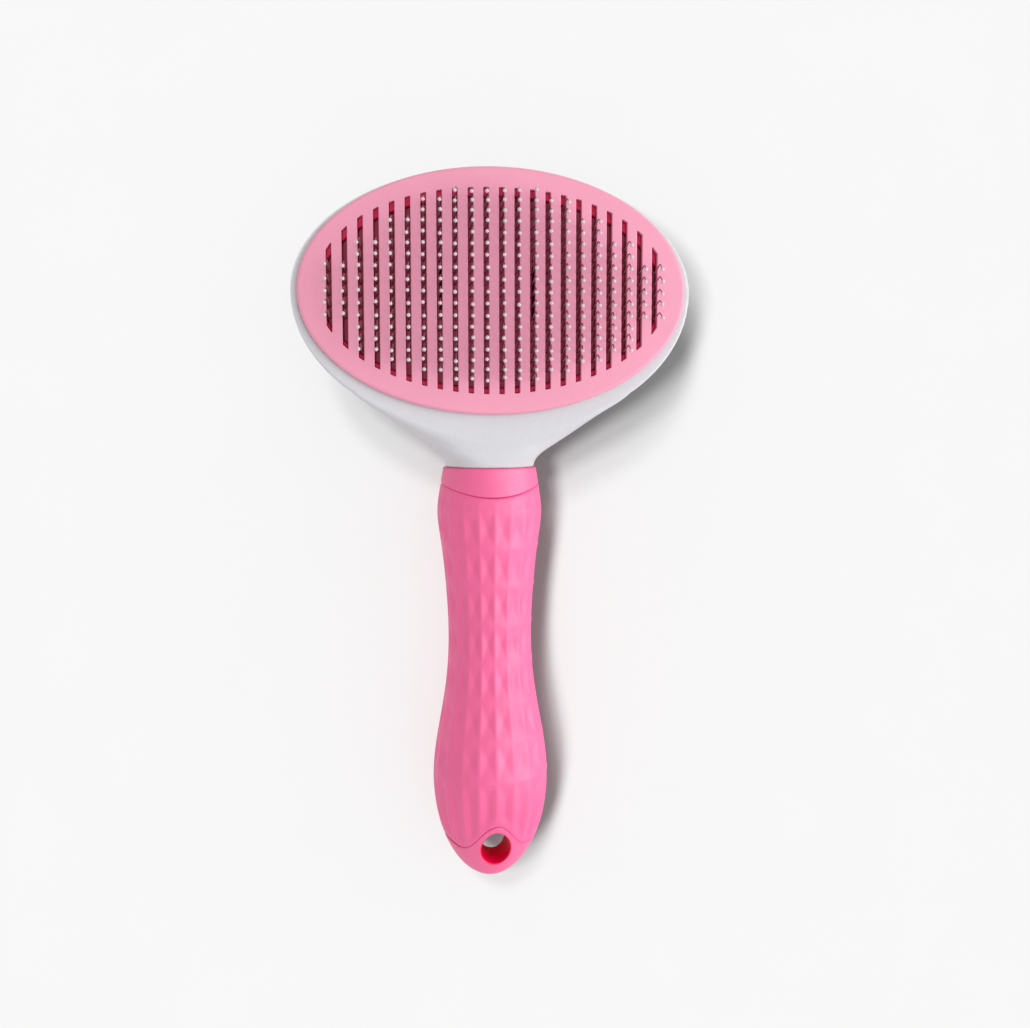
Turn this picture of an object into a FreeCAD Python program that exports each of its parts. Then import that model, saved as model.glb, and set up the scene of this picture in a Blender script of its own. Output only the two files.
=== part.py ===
import FreeCAD, Part
import math
import os
import re

# Slicker brush with a push-off faceplate, lying on its back.
# +Z is the way the pins point, +Y runs along the handle towards the head, X is the width.
# The origin is on the resting plane, under the middle of the outline. Millimetres.

doc = FreeCAD.newDocument("slicker_brush")
sheet = doc.addObject("Spreadsheet::Sheet", "sizes")

SIZES = [
    # head outline, measured from the head's centre
    ("head_y", 65.05, "head centre, forward of the origin"),
    ("shell_half_width", 52.6, "shell, half of its width"),
    ("shell_front_reach", 32.2, "shell, from the head's centre to its far edge"),
    ("shell_rear_reach", 37.0, "lower ellipse of the shell, which the shoulders run out of"),
    ("rim_top", 29.7, "height of the shell's rim"),
    ("back_z", 7.1, "height of the shell's flat back"),
    ("floor_z", 9.5, "height of the floor inside the shell"),
    # faceplate
    ("plate_half_width", 50.8, "faceplate, half of its width"),
    ("plate_half_length", 32.0, "faceplate, half of its length"),
    ("plate_top", 32.0, "height of the faceplate's face at rest"),
    ("plate_thick", 2.0, "faceplate thickness"),
    ("plate_round", 0.9, "rounding of the faceplate's edge"),
    ("skirt_half_width", 49.7, "skirt under the faceplate, half of its width"),
    ("skirt_half_length", 30.2, "skirt under the faceplate, half of its length"),
    ("skirt_wall", 1.3, "skirt wall"),
    ("skirt_depth", 3.5, "skirt depth"),
    # slots
    ("slot_pitch", 4.05, "distance between slots"),
    ("slot_width", 1.4, "slot width"),
    ("slot_field_half_width", 46.0, "ellipse that ends the slots, half width"),
    ("slot_field_half_length", 26.6, "ellipse that ends the slots, half length"),
    # tray and pad
    ("tray_half_width", 47.6, "tray, half of its width"),
    ("tray_half_length", 28.1, "tray, half of its length"),
    ("tray_inner_half_width", 45.2, "tray recess, half of its width"),
    ("tray_inner_half_length", 25.0, "tray recess, half of its length"),
    ("tray_floor", 23.5, "underside of the tray"),
    ("tray_thick", 2.0, "tray floor thickness"),
    ("tray_rim", 29.0, "height of the tray's raised rim"),
    ("pad_thick", 2.0, "rubber pad thickness"),
    ("pad_gap", 0.1, "gap between the pad and the tray's rim"),
    # pins
    ("row_reach", 23.4, "outermost pin row, from the field's middle"),
    ("row_shift", 0.35, "pin field, forward of the head's centre"),
    ("wire_radius", 0.19, "pin wire"),
    ("tip_radius", 0.55, "rounded pin tip"),
    ("pin_rise", 11.0, "pins, above the faceplate at rest"),
    ("elbow_rise", 6.1, "pin elbow, above the faceplate at rest"),
    ("elbow_lean", 1.65, "how far a pin leans away from the handle below its elbow"),
    ("tip_return", 1.65, "how far a pin's tip comes back towards the handle"),
    ("tip_spread", 0.15, "how far a pin's tip opens sideways"),
    # push button and its frame
    ("button_radius", 17.0, "button"),
    ("button_wall", 2.0, "button wall"),
    ("button_face", 2.2, "button face thickness"),
    ("button_round", 1.6, "rounding of the button's edge"),
    ("button_boss", 2.0, "boss round each button screw"),
    ("flange_radius", 20.0, "button flange, held behind the shell's back"),
    ("flange_low", 9.8, "underside of the button flange"),
    ("flange_thick", 2.0, "button flange thickness"),
    ("frame_thick", 2.0, "push frame thickness"),
    ("leg_x", 12.15, "push leg, from the middle"),
    ("leg_thick", 2.6, "push leg thickness"),
    ("leg_length", 13.0, "push leg length"),
    ("leg_gap", 0.35, "gap round a push leg"),
    ("bezel_radius", 21.6, "bezel ring"),
    ("bezel_bore", 17.3, "bezel bore"),
    ("bezel_tube", 19.0, "bezel tube, through the shell's back"),
    ("bezel_low", 5.8, "outer face of the bezel"),
    ("bezel_round", 0.8, "rounding of the bezel's edge"),
    # springs
    ("spring_y", 8.5, "return spring, from the head's centre"),
    ("spring_radius", 4.2, "return spring, mean radius"),
    ("spring_wire", 0.45, "return spring wire radius"),
    ("spring_turns", 8, "return spring turns"),
    ("spigot_radius", 3.3, "spigot inside each end of a spring"),
    ("spigot_height", 2.2, "spigot height"),
    ("spring_hole", 5.4, "hole in the push frame that a spring passes"),
    # screws
    ("screw_radius", 1.2, "small screw shank"),
    ("screw_head", 2.3, "small screw head"),
    ("screw_length", 9.0, "small screw length"),
    ("screw_fit", 0.05, "gap round a screw"),
    ("recess_width", 0.5, "width of a small screw's cross recess"),
    ("recess_depth", 0.7, "depth of a small screw's cross recess"),
    ("boss_radius", 3.0, "screw boss"),
    ("tray_screw_x", 33.5, "tray screw, from the middle"),
    ("tray_screw_y", 9.5, "tray screw, from the head's centre"),
    ("button_screw_x", 6.6, "button screw, from the middle"),
    ("neck_screw_y", 41.0, "neck screw, behind the head's centre"),
    ("neck_screw_head", 2.8, "neck screw head"),
    ("neck_screw_low", 5.4, "outer face of the neck screw's head"),
    ("neck_screw_pan", 1.8, "height of the neck screw's head"),
    ("neck_recess_length", 3.2, "length of the neck screw's cross recess"),
    ("neck_recess_width", 0.7, "width of the neck screw's cross recess"),
    # handle
    ("axis_z", 16.1, "height of the handle's axis"),
    ("neck_y", 46.3, "joint between shell and handle, behind the head's centre"),
    ("neck_radius", 12.4, "neck at the joint"),
    ("tenon_radius", 8.0, "tenon of the handle in the neck"),
    ("tenon_length", 11.0, "tenon length"),
    ("collar_dip", 54.2, "lowest point of the collar, behind the head's centre"),
    ("collar_curve", 29.0, "radius of the collar's lower edge"),
    ("bulge_y", 132.5, "widest part of the grip, behind the head's centre"),
    ("bulge_radius", 16.1, "grip at its widest"),
    ("tail_length", 29.8, "from the widest part to the tip"),
    ("tail_flattening", 1.3, "how much flatter than wide the tail is round the hanging hole"),
    ("grip_wall", 3.0, "soft grip thickness"),
    ("end_seam_y", 151.0, "end of the soft grip, behind the head's centre"),
    ("hole_y", 152.2, "hanging hole, behind the head's centre"),
    ("hole_radius", 4.0, "hanging hole"),
    ("hole_border", 7.7, "smooth ring round the hanging hole"),
    ("mouth_start", 3.0, "where the hanging hole starts to widen, from the handle's axis"),
    ("mouth_end", 12.5, "where the widening mouth is at its full size, from the handle's axis"),
    ("mouth_width", 9.1, "widening mouth across the handle at its end"),
    ("mouth_length", 12.0, "widening mouth along the handle at its end"),
]

for row, (alias, value, note) in enumerate(SIZES, start=1):
    sheet.set("A%d" % row, note)
    sheet.set("B%d" % row, str(value))
    sheet.setAlias("B%d" % row, alias)
doc.recompute()

# Half width and half depth of the grip at stations behind the head's centre.
GRIP_STATIONS = [
    (46.3, 12.9, 12.5),
    (52.0, 13.8, 13.2),
    (57.6, 14.5, 13.9),
    (66.0, 13.7, 13.3),
    (80.0, 12.2, 12.0),
    (93.5, 11.6, 11.5),
    (106.0, 12.3, 12.2),
    (119.0, 14.5, 14.4),
]
TAIL_ANGLES = [0, 16, 31, 44, 56, 67, 76, 83, 88]
PIN_COLUMNS = [
    # first and last row of each column, in rows forward of the middle
    (-2.5, 1.5),
    (-5.5, 3.5),
    (-6.5, 5.5),
    (-7.5, 7.5),
    (-8.5, 8.5),
    (-8.5, 8.5),
    (-8.5, 8.5),
    (-7.5, 7.5),
    (-6.5, 5.5),
    (-5.5, 3.5),
    (-2.5, 1.5),
]
SLOT_COUNT = 2 * len(PIN_COLUMNS)
OUTER_ROW = 8.5
ROW_BUNCHING = 0.74  # radians; rows stand closer towards both ends of the field
Z_AXIS = FreeCAD.Vector(0, 0, 1)
ALONG_HANDLE = FreeCAD.Rotation(FreeCAD.Vector(1, 0, 0), 90)

parts = {}


def size(alias):
    """Value of a driving dimension."""
    return float(sheet.get(alias))


def bind(obj, values, place=("0", "0", "0")):
    """Bind an object's sizes and its position to the sheet."""
    for name, text in values.items():
        obj.setExpression(name, expression(text))
    for axis, text in zip("xyz", place):
        obj.setExpression("Placement.Base." + axis, expression(text))
    return obj


def expression(text):
    """Put the sheet's name before each alias in a formula."""
    names = {alias for alias, _, _ in SIZES}

    def named(match):
        word = match.group()
        return "sizes." + word if word in names else word

    return re.sub(r"[a-z_]+", named, text)


def cylinder(name, radius, low, high, x="0", y="head_y"):
    obj = doc.addObject("Part::Cylinder", name)
    return bind(obj, {"Radius": radius, "Height": "(%s) - (%s)" % (high, low)}, (x, y, low))


def box(name, length, width, low, high, x="0", y="head_y"):
    """Box centred on x and y."""
    obj = doc.addObject("Part::Box", name)
    values = {"Length": length, "Width": width, "Height": "(%s) - (%s)" % (high, low)}
    corner = ("%s - (%s) / 2" % (x, length), "%s - (%s) / 2" % (y, width), low)
    return bind(obj, values, corner)


def ellipse_disc(name, half_width, half_length, low, high):
    """Elliptical slab round the head's centre."""
    outline = doc.addObject("Part::Ellipse", name + "_outline")
    bind(outline, {"MajorRadius": half_width, "MinorRadius": half_length}, ("0", "head_y", low))
    slab = doc.addObject("Part::Extrusion", name)
    slab.Base = outline
    slab.DirMode = "Custom"
    slab.Dir = Z_AXIS
    slab.Solid = True
    slab.setExpression("LengthFwd", expression("(%s) - (%s)" % (high, low)))
    return slab


def cut(name, base, tool):
    obj = doc.addObject("Part::Cut", name)
    obj.Base = base
    obj.Tool = tool
    return obj


def common(name, first, second):
    obj = doc.addObject("Part::Common", name)
    obj.Base = first
    obj.Tool = second
    return obj


def fuse(name, shapes):
    obj = doc.addObject("Part::MultiFuse", name)
    obj.Shapes = shapes
    return obj


def group(name, members):
    """Separate solids held together as one object."""
    obj = doc.addObject("Part::Compound", name)
    obj.Links = members
    return obj


def round_edges(name, base, radius, chosen):
    """Round the edges of base that chosen picks."""
    doc.recompute()
    obj = doc.addObject("Part::Fillet", name)
    obj.Base = base
    numbers = [i for i, e in enumerate(base.Shape.Edges, start=1) if chosen(e)]
    obj.Edges = [(i, radius, radius) for i in numbers]
    return obj


def part(label, obj):
    """Name a finished sub-part."""
    obj.Label = label
    parts[label] = obj
    return obj


def set_shape(name, shape):
    """Object whose shape is computed here from the sheet."""
    obj = doc.addObject("Part::Feature", name)
    obj.Shape = shape
    obj.Placement = FreeCAD.Placement(FreeCAD.Vector(0, size("head_y"), 0), FreeCAD.Rotation())
    return obj


# ---------------------------------------------------------------- faceplate


def make_faceplate():
    low = "plate_top - plate_thick"
    slab = ellipse_disc("plate_slab", "plate_half_width", "plate_half_length", low, "plate_top")

    def top_edge(edge):
        return edge.BoundBox.ZMin > size("plate_top") - 0.01

    rounded = round_edges("plate_rounded", slab, size("plate_round"), top_edge)
    skirt_low = "plate_top - plate_thick - skirt_depth"
    skirt_out = ellipse_disc("skirt_outside", "skirt_half_width", "skirt_half_length", skirt_low, low)
    skirt_in = ellipse_disc(
        "skirt_inside",
        "skirt_half_width - skirt_wall",
        "skirt_half_length - skirt_wall",
        skirt_low,
        low,
    )
    skirt = cut("skirt", skirt_out, skirt_in)
    bars = []
    for i in range(SLOT_COUNT):
        x = "slot_pitch * %.1f" % (i - (SLOT_COUNT - 1) / 2)
        length = "slot_field_half_length * 2 + 2"
        bars.append(box("slot_bar_%02d" % (i + 1), "slot_width", length, low, "plate_top + 1", x))
    field = ellipse_disc(
        "slot_field", "slot_field_half_width", "slot_field_half_length", low, "plate_top + 1"
    )
    slots = common("slots", group("slot_bars", bars), field)
    whole = fuse("plate_and_skirt", [rounded, skirt])
    part("faceplate", cut("faceplate", whole, slots))


# ---------------------------------------------------------------- tray, pad and pins


def leg_slots(name, low, high):
    """Openings that the two push legs pass through."""
    slots = []
    for side, sign in (("left", "-"), ("right", "")):
        slots.append(
            box(
                "%s_%s" % (name, side),
                "leg_thick + 2 * leg_gap",
                "leg_length + 2 * leg_gap",
                low,
                high,
                sign + "leg_x",
            )
        )
    return group(name, slots)


def tray_screw_spots():
    return [
        ("%stray_screw_x" % sx, "head_y %s tray_screw_y" % sy) for sx in ("-", "") for sy in "-+"
    ]


def spring_spots():
    return [("front", "head_y + spring_y"), ("rear", "head_y - spring_y")]


def make_tray():
    top = "tray_floor + tray_thick"
    body = ellipse_disc("tray_body", "tray_half_width", "tray_half_length", "tray_floor", "tray_rim")
    recess = ellipse_disc(
        "tray_recess", "tray_inner_half_width", "tray_inner_half_length", top, "tray_rim + 1"
    )
    spigots = [
        cylinder(
            "tray_spigot_" + end, "spigot_radius", "tray_floor - spigot_height", "tray_floor", "0", y
        )
        for end, y in spring_spots()
    ]
    holes = [leg_slots("tray_leg_slots", "tray_floor - 1", top + " + 1")]
    for i, (x, y) in enumerate(tray_screw_spots()):
        holes.append(
            cylinder(
                "tray_hole_%d" % i,
                "screw_radius + screw_fit",
                "tray_floor - 1",
                top + " + 1",
                x,
                y,
            )
        )
        holes.append(countersink("tray_sink_%d" % i, x, y, top))
    dish = cut("tray_dish", body, recess)
    solid = fuse("tray_solid", [dish] + spigots)
    part("pin_tray", cut("pin_tray", solid, fuse("tray_holes", holes)))


def countersink(name, x, y, top):
    """Cone that a screw head lies in, a little larger than the head."""
    cone = doc.addObject("Part::Cone", name)
    values = {
        "Radius1": "screw_radius + screw_fit",
        "Radius2": "screw_head + screw_fit",
        "Height": "screw_head - screw_radius",
    }
    return bind(cone, values, (x, y, top + " - (screw_head - screw_radius)"))


def make_pad():
    low = "tray_floor + tray_thick"
    high = low + " + pad_thick"
    slab = ellipse_disc(
        "pad_slab", "tray_inner_half_width - pad_gap", "tray_inner_half_length - pad_gap", low, high
    )
    part("pin_pad", cut("pin_pad", slab, leg_slots("pad_leg_slots", low + " - 1", high + " + 1")))


def wire(start, end, radius):
    """Straight stretch of wire with a round joint at its far end."""
    along = end - start
    rod = Part.makeCylinder(radius, along.Length, start, along)
    return [rod, Part.makeSphere(radius, end)]


def staple_shape():
    """One U of wire: two bent legs on a cross bar. Its feet are at the origin's height."""
    radius = size("wire_radius")
    half = size("slot_pitch") / 2
    foot_z = size("tray_floor") + size("tray_thick") + radius
    bend_z = size("plate_top") - 1
    elbow_z = size("plate_top") + size("elbow_rise")
    tip_z = size("plate_top") + size("pin_rise") - size("tip_radius")
    lean = size("elbow_lean")
    back = size("tip_return")
    solids = []
    tips = []
    for side in (-1, 1):
        foot = FreeCAD.Vector(side * half, 0, foot_z)
        bend = FreeCAD.Vector(side * half, 0, bend_z)
        elbow = FreeCAD.Vector(side * half, lean, elbow_z)
        tip = FreeCAD.Vector(side * (half + size("tip_spread")), lean - back, tip_z)
        for start, end in ((foot, bend), (bend, elbow), (elbow, tip)):
            solids += wire(start, end, radius)
        solids.append(Part.makeSphere(radius, foot))
        tips.append(tip)
    bar = Part.makeCylinder(radius, 2 * half, FreeCAD.Vector(-half, 0, foot_z), FreeCAD.Vector(1, 0, 0))
    staple = bar.fuse(solids).removeSplitter()
    return staple, tips


def tip_shapes(staple, tips):
    """Rounded tips, each bored for its wire."""
    balls = []
    for tip in tips:
        balls.append(Part.makeSphere(size("tip_radius"), tip).cut(staple))
    return balls


def row_y(index):
    """Place of a pin row along the field; rows bunch a little towards both ends."""
    angle = ROW_BUNCHING * index / OUTER_ROW
    return size("row_shift") + size("row_reach") * math.sin(angle) / math.sin(ROW_BUNCHING)


def make_pins():
    staple, tips = staple_shape()
    balls = tip_shapes(staple, tips)
    tip_to_foot = size("tip_return") - size("elbow_lean")
    for column, (first, last) in enumerate(PIN_COLUMNS):
        x = 2 * size("slot_pitch") * (column - (len(PIN_COLUMNS) - 1) / 2)
        staples = []
        beads = []
        for k in range(int(last - first) + 1):
            move = FreeCAD.Vector(x, row_y(first + k) + tip_to_foot, 0)
            staples.append(staple.translated(move))
            beads += [ball.translated(move) for ball in balls]
        number = "%02d" % (column + 1)
        part("staple_row_" + number, set_shape("staple_row_" + number, Part.makeCompound(staples)))
        part("tip_row_" + number, set_shape("tip_row_" + number, Part.makeCompound(beads)))


# ---------------------------------------------------------------- push button


def make_push_frame():
    low = "flange_low + flange_thick"
    high = low + " + frame_thick"
    disc = cylinder("frame_disc", "flange_radius", low, high)
    legs = []
    for side, sign in (("left", "-"), ("right", "")):
        top = "plate_top - plate_thick"
        legs.append(box("push_leg_" + side, "leg_thick", "leg_length", low, top, sign + "leg_x"))
    holes = [
        cylinder("frame_hole_" + end, "spring_hole", low + " - 1", high + " + 1", "0", y)
        for end, y in spring_spots()
    ]
    for side, x in button_screw_spots():
        through = low + " - 1"
        above = high + " + 1"
        holes.append(
            cylinder("frame_bore_" + side, "screw_radius + screw_fit", through, above, x)
        )
        holes.append(countersink("frame_sink_" + side, x, "head_y", high))
    solid = fuse("frame_solid", [disc] + legs)
    part("push_frame", cut("push_frame", solid, fuse("frame_holes", holes)))


def button_screw_spots():
    return [("left", "-button_screw_x"), ("right", "button_screw_x")]


def make_button():
    top = "flange_low + flange_thick"
    body = cylinder("button_body", "button_radius", "0", top)

    def face_edge(edge):
        return edge.BoundBox.ZMax < 0.01

    rounded = round_edges("button_rounded", body, size("button_round"), face_edge)
    flange = cylinder("button_flange", "flange_radius", "flange_low", top)
    hollow = cylinder("button_hollow", "button_radius - button_wall", "button_face", top + " + 1")
    cup = cut("button_cup", fuse("button_outside", [rounded, flange]), hollow)
    inside = [
        cylinder(
            "button_spigot_" + end,
            "spigot_radius",
            "button_face",
            "button_face + spigot_height",
            "0",
            y,
        )
        for end, y in spring_spots()
    ]
    bores = []
    for side, x in button_screw_spots():
        inside.append(cylinder("button_boss_" + side, "button_boss", "button_face", top, x))
        bores.append(
            cylinder(
                "button_bore_" + side, "screw_radius + screw_fit", "button_face + 1", top + " + 1", x
            )
        )
    solid = fuse("button_solid", [cup] + inside)
    part("thumb_button", cut("thumb_button", solid, group("button_bores", bores)))


def make_bezel():
    flange = cylinder("bezel_flange", "bezel_radius", "bezel_low", "back_z")
    tube = cylinder("bezel_tube_wall", "bezel_tube", "back_z", "floor_z")
    bore = cylinder("bezel_opening", "bezel_bore", "bezel_low - 1", "floor_z + 1")

    def outer_edge(edge):
        return edge.BoundBox.ZMax < size("bezel_low") + 0.01

    rounded = round_edges("bezel_rounded", flange, size("bezel_round"), outer_edge)
    part("button_bezel", cut("button_bezel", fuse("bezel_solid", [rounded, tube]), bore))


def make_spring(end, y):
    """Compression spring from the button's face to the tray."""
    height = "tray_floor - button_face - 2 * spring_wire"
    coil = doc.addObject("Part::Helix", "coil_" + end)
    values = {
        "Radius": "spring_radius",
        "Height": height,
        "Pitch": "(%s) / spring_turns" % height,
    }
    bind(coil, values, ("0", y, "button_face + spring_wire"))
    coil.SegmentLength = 1
    section = doc.addObject("Part::Circle", "coil_section_" + end)
    bind(section, {"Radius": "spring_wire"}, ("spring_radius", y, "button_face + spring_wire"))
    section.Placement.Rotation = ALONG_HANDLE
    sweep = doc.addObject("Part::Sweep", "return_spring_" + end)
    sweep.Sections = [section]
    turns = range(1, int(size("spring_turns")) + 1)
    sweep.Spine = (coil, ["Edge%d" % turn for turn in turns])
    sweep.Solid = True
    sweep.Frenet = True
    part("return_spring_" + end, sweep)


# ---------------------------------------------------------------- screws


def flat_screw(name, x, y, top):
    """Countersunk screw pointing down from top, with a cross recess."""
    head = "(screw_head - screw_radius)"
    cone = doc.addObject("Part::Cone", name + "_head")
    values = {"Radius1": "screw_radius", "Radius2": "screw_head", "Height": head}
    bind(cone, values, (x, y, "%s - %s" % (top, head)))
    shank_low = "%s - screw_length" % top
    shank = cylinder(name + "_shank", "screw_radius", shank_low, "%s - %s" % (top, head), x, y)
    deep = "%s - recess_depth" % top
    above = "%s + 1" % top
    bars = [
        box(name + "_recess_a", "screw_head * 1.1", "recess_width", deep, above, x, y),
        box(name + "_recess_b", "recess_width", "screw_head * 1.1", deep, above, x, y),
    ]
    return cut(name, fuse(name + "_solid", [cone, shank]), fuse(name + "_recess", bars))


def make_screws():
    tray_top = "tray_floor + tray_thick"
    spots = enumerate(tray_screw_spots(), start=1)
    screws = [flat_screw("tray_screw_%d" % i, x, y, tray_top) for i, (x, y) in spots]
    part("tray_screws", group("tray_screws", screws))
    frame_top = "flange_low + flange_thick + frame_thick"
    screws = [
        flat_screw("button_screw_" + side, x, "head_y", frame_top)
        for side, x in button_screw_spots()
    ]
    part("button_screws", group("button_screws", screws))
    y = "head_y - neck_screw_y"
    seat = "neck_screw_low + neck_screw_pan"
    head = cylinder("neck_screw_top", "neck_screw_head", "neck_screw_low", seat, "0", y)
    shank = cylinder("neck_screw_shank", "screw_radius", seat, seat + " + screw_length", "0", y)
    long = "neck_recess_length"
    wide = "neck_recess_width"
    below = "neck_screw_low - 1"
    deep = "neck_screw_low + 1"
    bars = [
        box("neck_recess_a", long, wide, below, deep, "0", y),
        box("neck_recess_b", wide, long, below, deep, "0", y),
    ]
    solid = fuse("neck_screw_solid", [head, shank])
    part("neck_screw", cut("neck_screw", solid, fuse("neck_recess", bars)))


# ---------------------------------------------------------------- head shell


def egg(half_width, front, rear, z):
    """Closed outline made of two half ellipses, round the head's centre."""
    centre = FreeCAD.Vector(0, 0, z)
    edges = []
    for reach, start in ((front, 0), (rear, math.pi)):
        if reach > half_width:
            raise ValueError("the outline is wider than it is long")
        curve = Part.Ellipse(centre, half_width, reach)
        edges.append(Part.ArcOfEllipse(curve, start, start + math.pi).toShape())
    return Part.Wire(edges)


def bowl(levels):
    """Smooth bowl through outlines given as (z, half width, front reach, rear reach)."""
    return Part.makeLoft([egg(w, f, r, z) for z, w, f, r in levels], True, False)


def neck_section(behind, half_width, half_depth, z):
    """Ellipse across the handle."""
    ellipse = Part.Ellipse(FreeCAD.Vector(0, 0, 0), half_width, half_depth)
    ring = ellipse.toShape()
    ring.Placement = FreeCAD.Placement(FreeCAD.Vector(0, -behind, z), ALONG_HANDLE)
    return Part.Wire(ring)


def make_shell():
    rim = size("rim_top")
    width = size("shell_half_width")
    front = size("shell_front_reach")
    rear = size("shell_rear_reach")
    back = size("back_z")
    floor = size("floor_z")
    axis = size("axis_z")
    neck = size("neck_y")
    outside = bowl(
        [
            (back, 0.58 * width, 0.72 * front, 0.68 * rear),
            (back + 1.6, 0.70 * width, 0.81 * front, 0.77 * rear),
            (back + 5.5, 0.86 * width, 0.91 * front, 0.88 * rear),
            (back + 11.0, 0.95 * width, 0.97 * front, 0.96 * rear),
            (back + 17.0, 0.99 * width, 0.995 * front, 0.99 * rear),
            (rim, width, front, rear),
        ]
    )
    shoulders = Part.makeLoft(
        [
            neck_section(20.0, 41.0, 10.4, axis + 2.6),
            neck_section(27.1, 36.2, 10.6, axis + 2.4),
            neck_section(33.5, 27.6, 11.0, axis + 1.6),
            neck_section(39.8, 18.0, 11.6, axis + 0.7),
            neck_section(43.4, 13.4, 12.0, axis + 0.2),
            neck_section(neck, size("neck_radius"), size("neck_radius") - 0.3, axis),
        ],
        True,
        False,
    )
    hollow = bowl(
        [
            (floor, 0.52 * width, 21.2, 21.2),
            (floor + 2.5, 0.72 * width, 23.5, 23.8),
            (floor + 7.5, 0.88 * width, 27.0, 28.0),
            (size("tray_floor") - 1.5, width - 2.6, 29.9, 30.4),
            (rim + 1, width - 2.3, 30.7, 30.9),
        ]
    )
    solid = outside.fuse(shoulders)
    solid = solid.cut(hollow)
    bosses = []
    holes = [Part.makeCylinder(size("bezel_tube") + 0.05, 6, FreeCAD.Vector(0, 0, back - 3))]
    bore = size("screw_radius") + size("screw_fit")
    tray = size("tray_floor")
    for sx in (-1, 1):
        for sy in (-1, 1):
            spot = FreeCAD.Vector(sx * size("tray_screw_x"), sy * size("tray_screw_y"), back + 4)
            bosses.append(Part.makeCylinder(size("boss_radius"), tray - back - 4, spot))
            deep = FreeCAD.Vector(spot.x, spot.y, tray - size("screw_length"))
            holes.append(Part.makeCylinder(bore, size("screw_length") + 1, deep))
    solid = solid.fuse(bosses)
    towards_head = FreeCAD.Vector(0, 1, 0)
    socket_start = FreeCAD.Vector(0, -neck - 1, axis)
    socket_length = size("tenon_length") + 1.3
    holes.append(
        Part.makeCylinder(size("tenon_radius") + 0.05, socket_length, socket_start, towards_head)
    )
    screw = FreeCAD.Vector(0, -size("neck_screw_y"), 0)
    holes.append(Part.makeCylinder(bore, axis, screw))
    seat = size("neck_screw_low") + size("neck_screw_pan")
    holes.append(Part.makeCylinder(size("neck_screw_head") + 0.2, seat, screw))
    solid = solid.cut(holes)
    part("head_shell", set_shape("head_shell", solid.removeSplitter()))


# ---------------------------------------------------------------- handle


def handle_form(name, inset):
    """Outer form of the handle, or the same form inset by a wall."""
    sections = []

    def add(behind, half_width, half_depth):
        ring = doc.addObject("Part::Ellipse", "%s_section_%02d" % (name, len(sections) + 1))
        values = {
            "MajorRadius": "%s - %s" % (half_width, inset),
            "MinorRadius": "%s - %s" % (half_depth, inset),
        }
        bind(ring, values, ("0", "head_y - (%s)" % behind, "axis_z"))
        ring.Placement.Rotation = ALONG_HANDLE
        sections.append(ring)

    for behind, half_width, half_depth in GRIP_STATIONS:
        add(str(behind), str(half_width), str(half_depth))
    for angle in TAIL_ANGLES:
        across = "bulge_radius * cos(%d deg)" % angle
        depth = across + " * (1 - tail_flattening * cos(%d deg) * (1 - cos(%d deg)))" % (angle, angle)
        if inset != "0" and angle > 50:
            break
        add("bulge_y + tail_length * sin(%d deg)" % angle, across, depth)
    form = doc.addObject("Part::Loft", name)
    form.Sections = sections
    form.Solid = True
    form.Ruled = False
    return form


def oval_mouth(name, side):
    """Opening that widens from inside the round hanging hole to an oval outside the handle."""
    sections = []
    for half_width, half_length, distance in (
        ("hole_radius - 0.5", "hole_radius - 0.49", "mouth_start"),
        ("mouth_width / 2", "mouth_length / 2", "mouth_end"),
    ):
        ring = doc.addObject("Part::Ellipse", "%s_ring_%d" % (name, len(sections) + 1))
        height = "axis_z + (%d) * (%s)" % (side, distance)
        values = {"MajorRadius": half_length, "MinorRadius": half_width}
        bind(ring, values, ("0", "head_y - hole_y", height))
        ring.Placement.Rotation = FreeCAD.Rotation(Z_AXIS, 90)
        sections.append(ring)
    mouth = doc.addObject("Part::Loft", name)
    mouth.Sections = sections
    mouth.Solid = True
    mouth.Ruled = True
    return mouth


def make_handle():
    form = handle_form("handle_form", "0")
    inner = handle_form("core_form", "grip_wall")
    seam_y = "head_y - collar_dip + collar_curve"
    collar_zone = cylinder("collar_zone", "collar_curve", "-5", "40", "0", seam_y)
    end_plane = box("end_plane", "60", "40", "-5", "40", "0", "head_y - end_seam_y - 20")
    end_ring = cylinder("end_ring", "hole_border", "-5", "40", "0", "head_y - hole_y")
    hard_zone = fuse("hard_zone", [collar_zone, end_plane, end_ring])
    hard_outside = common("hard_outside", form, hard_zone)
    soft_outside = cut("soft_outside", form, hard_zone)
    part("grip_sleeve", cut("grip_sleeve", soft_outside, inner))
    tenon = doc.addObject("Part::Cylinder", "tenon")
    values = {"Radius": "tenon_radius", "Height": "tenon_length + 4"}
    bind(tenon, values, ("0", "head_y - neck_y + tenon_length", "axis_z"))
    tenon.Placement.Rotation = ALONG_HANDLE
    solid = fuse("core_solid", [hard_outside, inner, tenon])
    top = "neck_screw_low + neck_screw_pan + screw_length + 0.3"
    bore = cylinder(
        "core_bore", "screw_radius + screw_fit", "0", top, "0", "head_y - neck_screw_y"
    )
    hole = cylinder("hang_hole", "hole_radius", "-1", "40", "0", "head_y - hole_y")
    bored = cut("bored_core", solid, group("core_holes", [bore, hole]))
    mouths = group("hole_mouths", [oval_mouth("front_mouth", 1), oval_mouth("back_mouth", -1)])
    part("handle_core", cut("handle_core", bored, mouths))


# ---------------------------------------------------------------- build and export


def check(obj, label):
    shape = obj.Shape
    if shape.isNull() or not shape.isValid():
        raise RuntimeError("shape of %s is not valid" % label)


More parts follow.
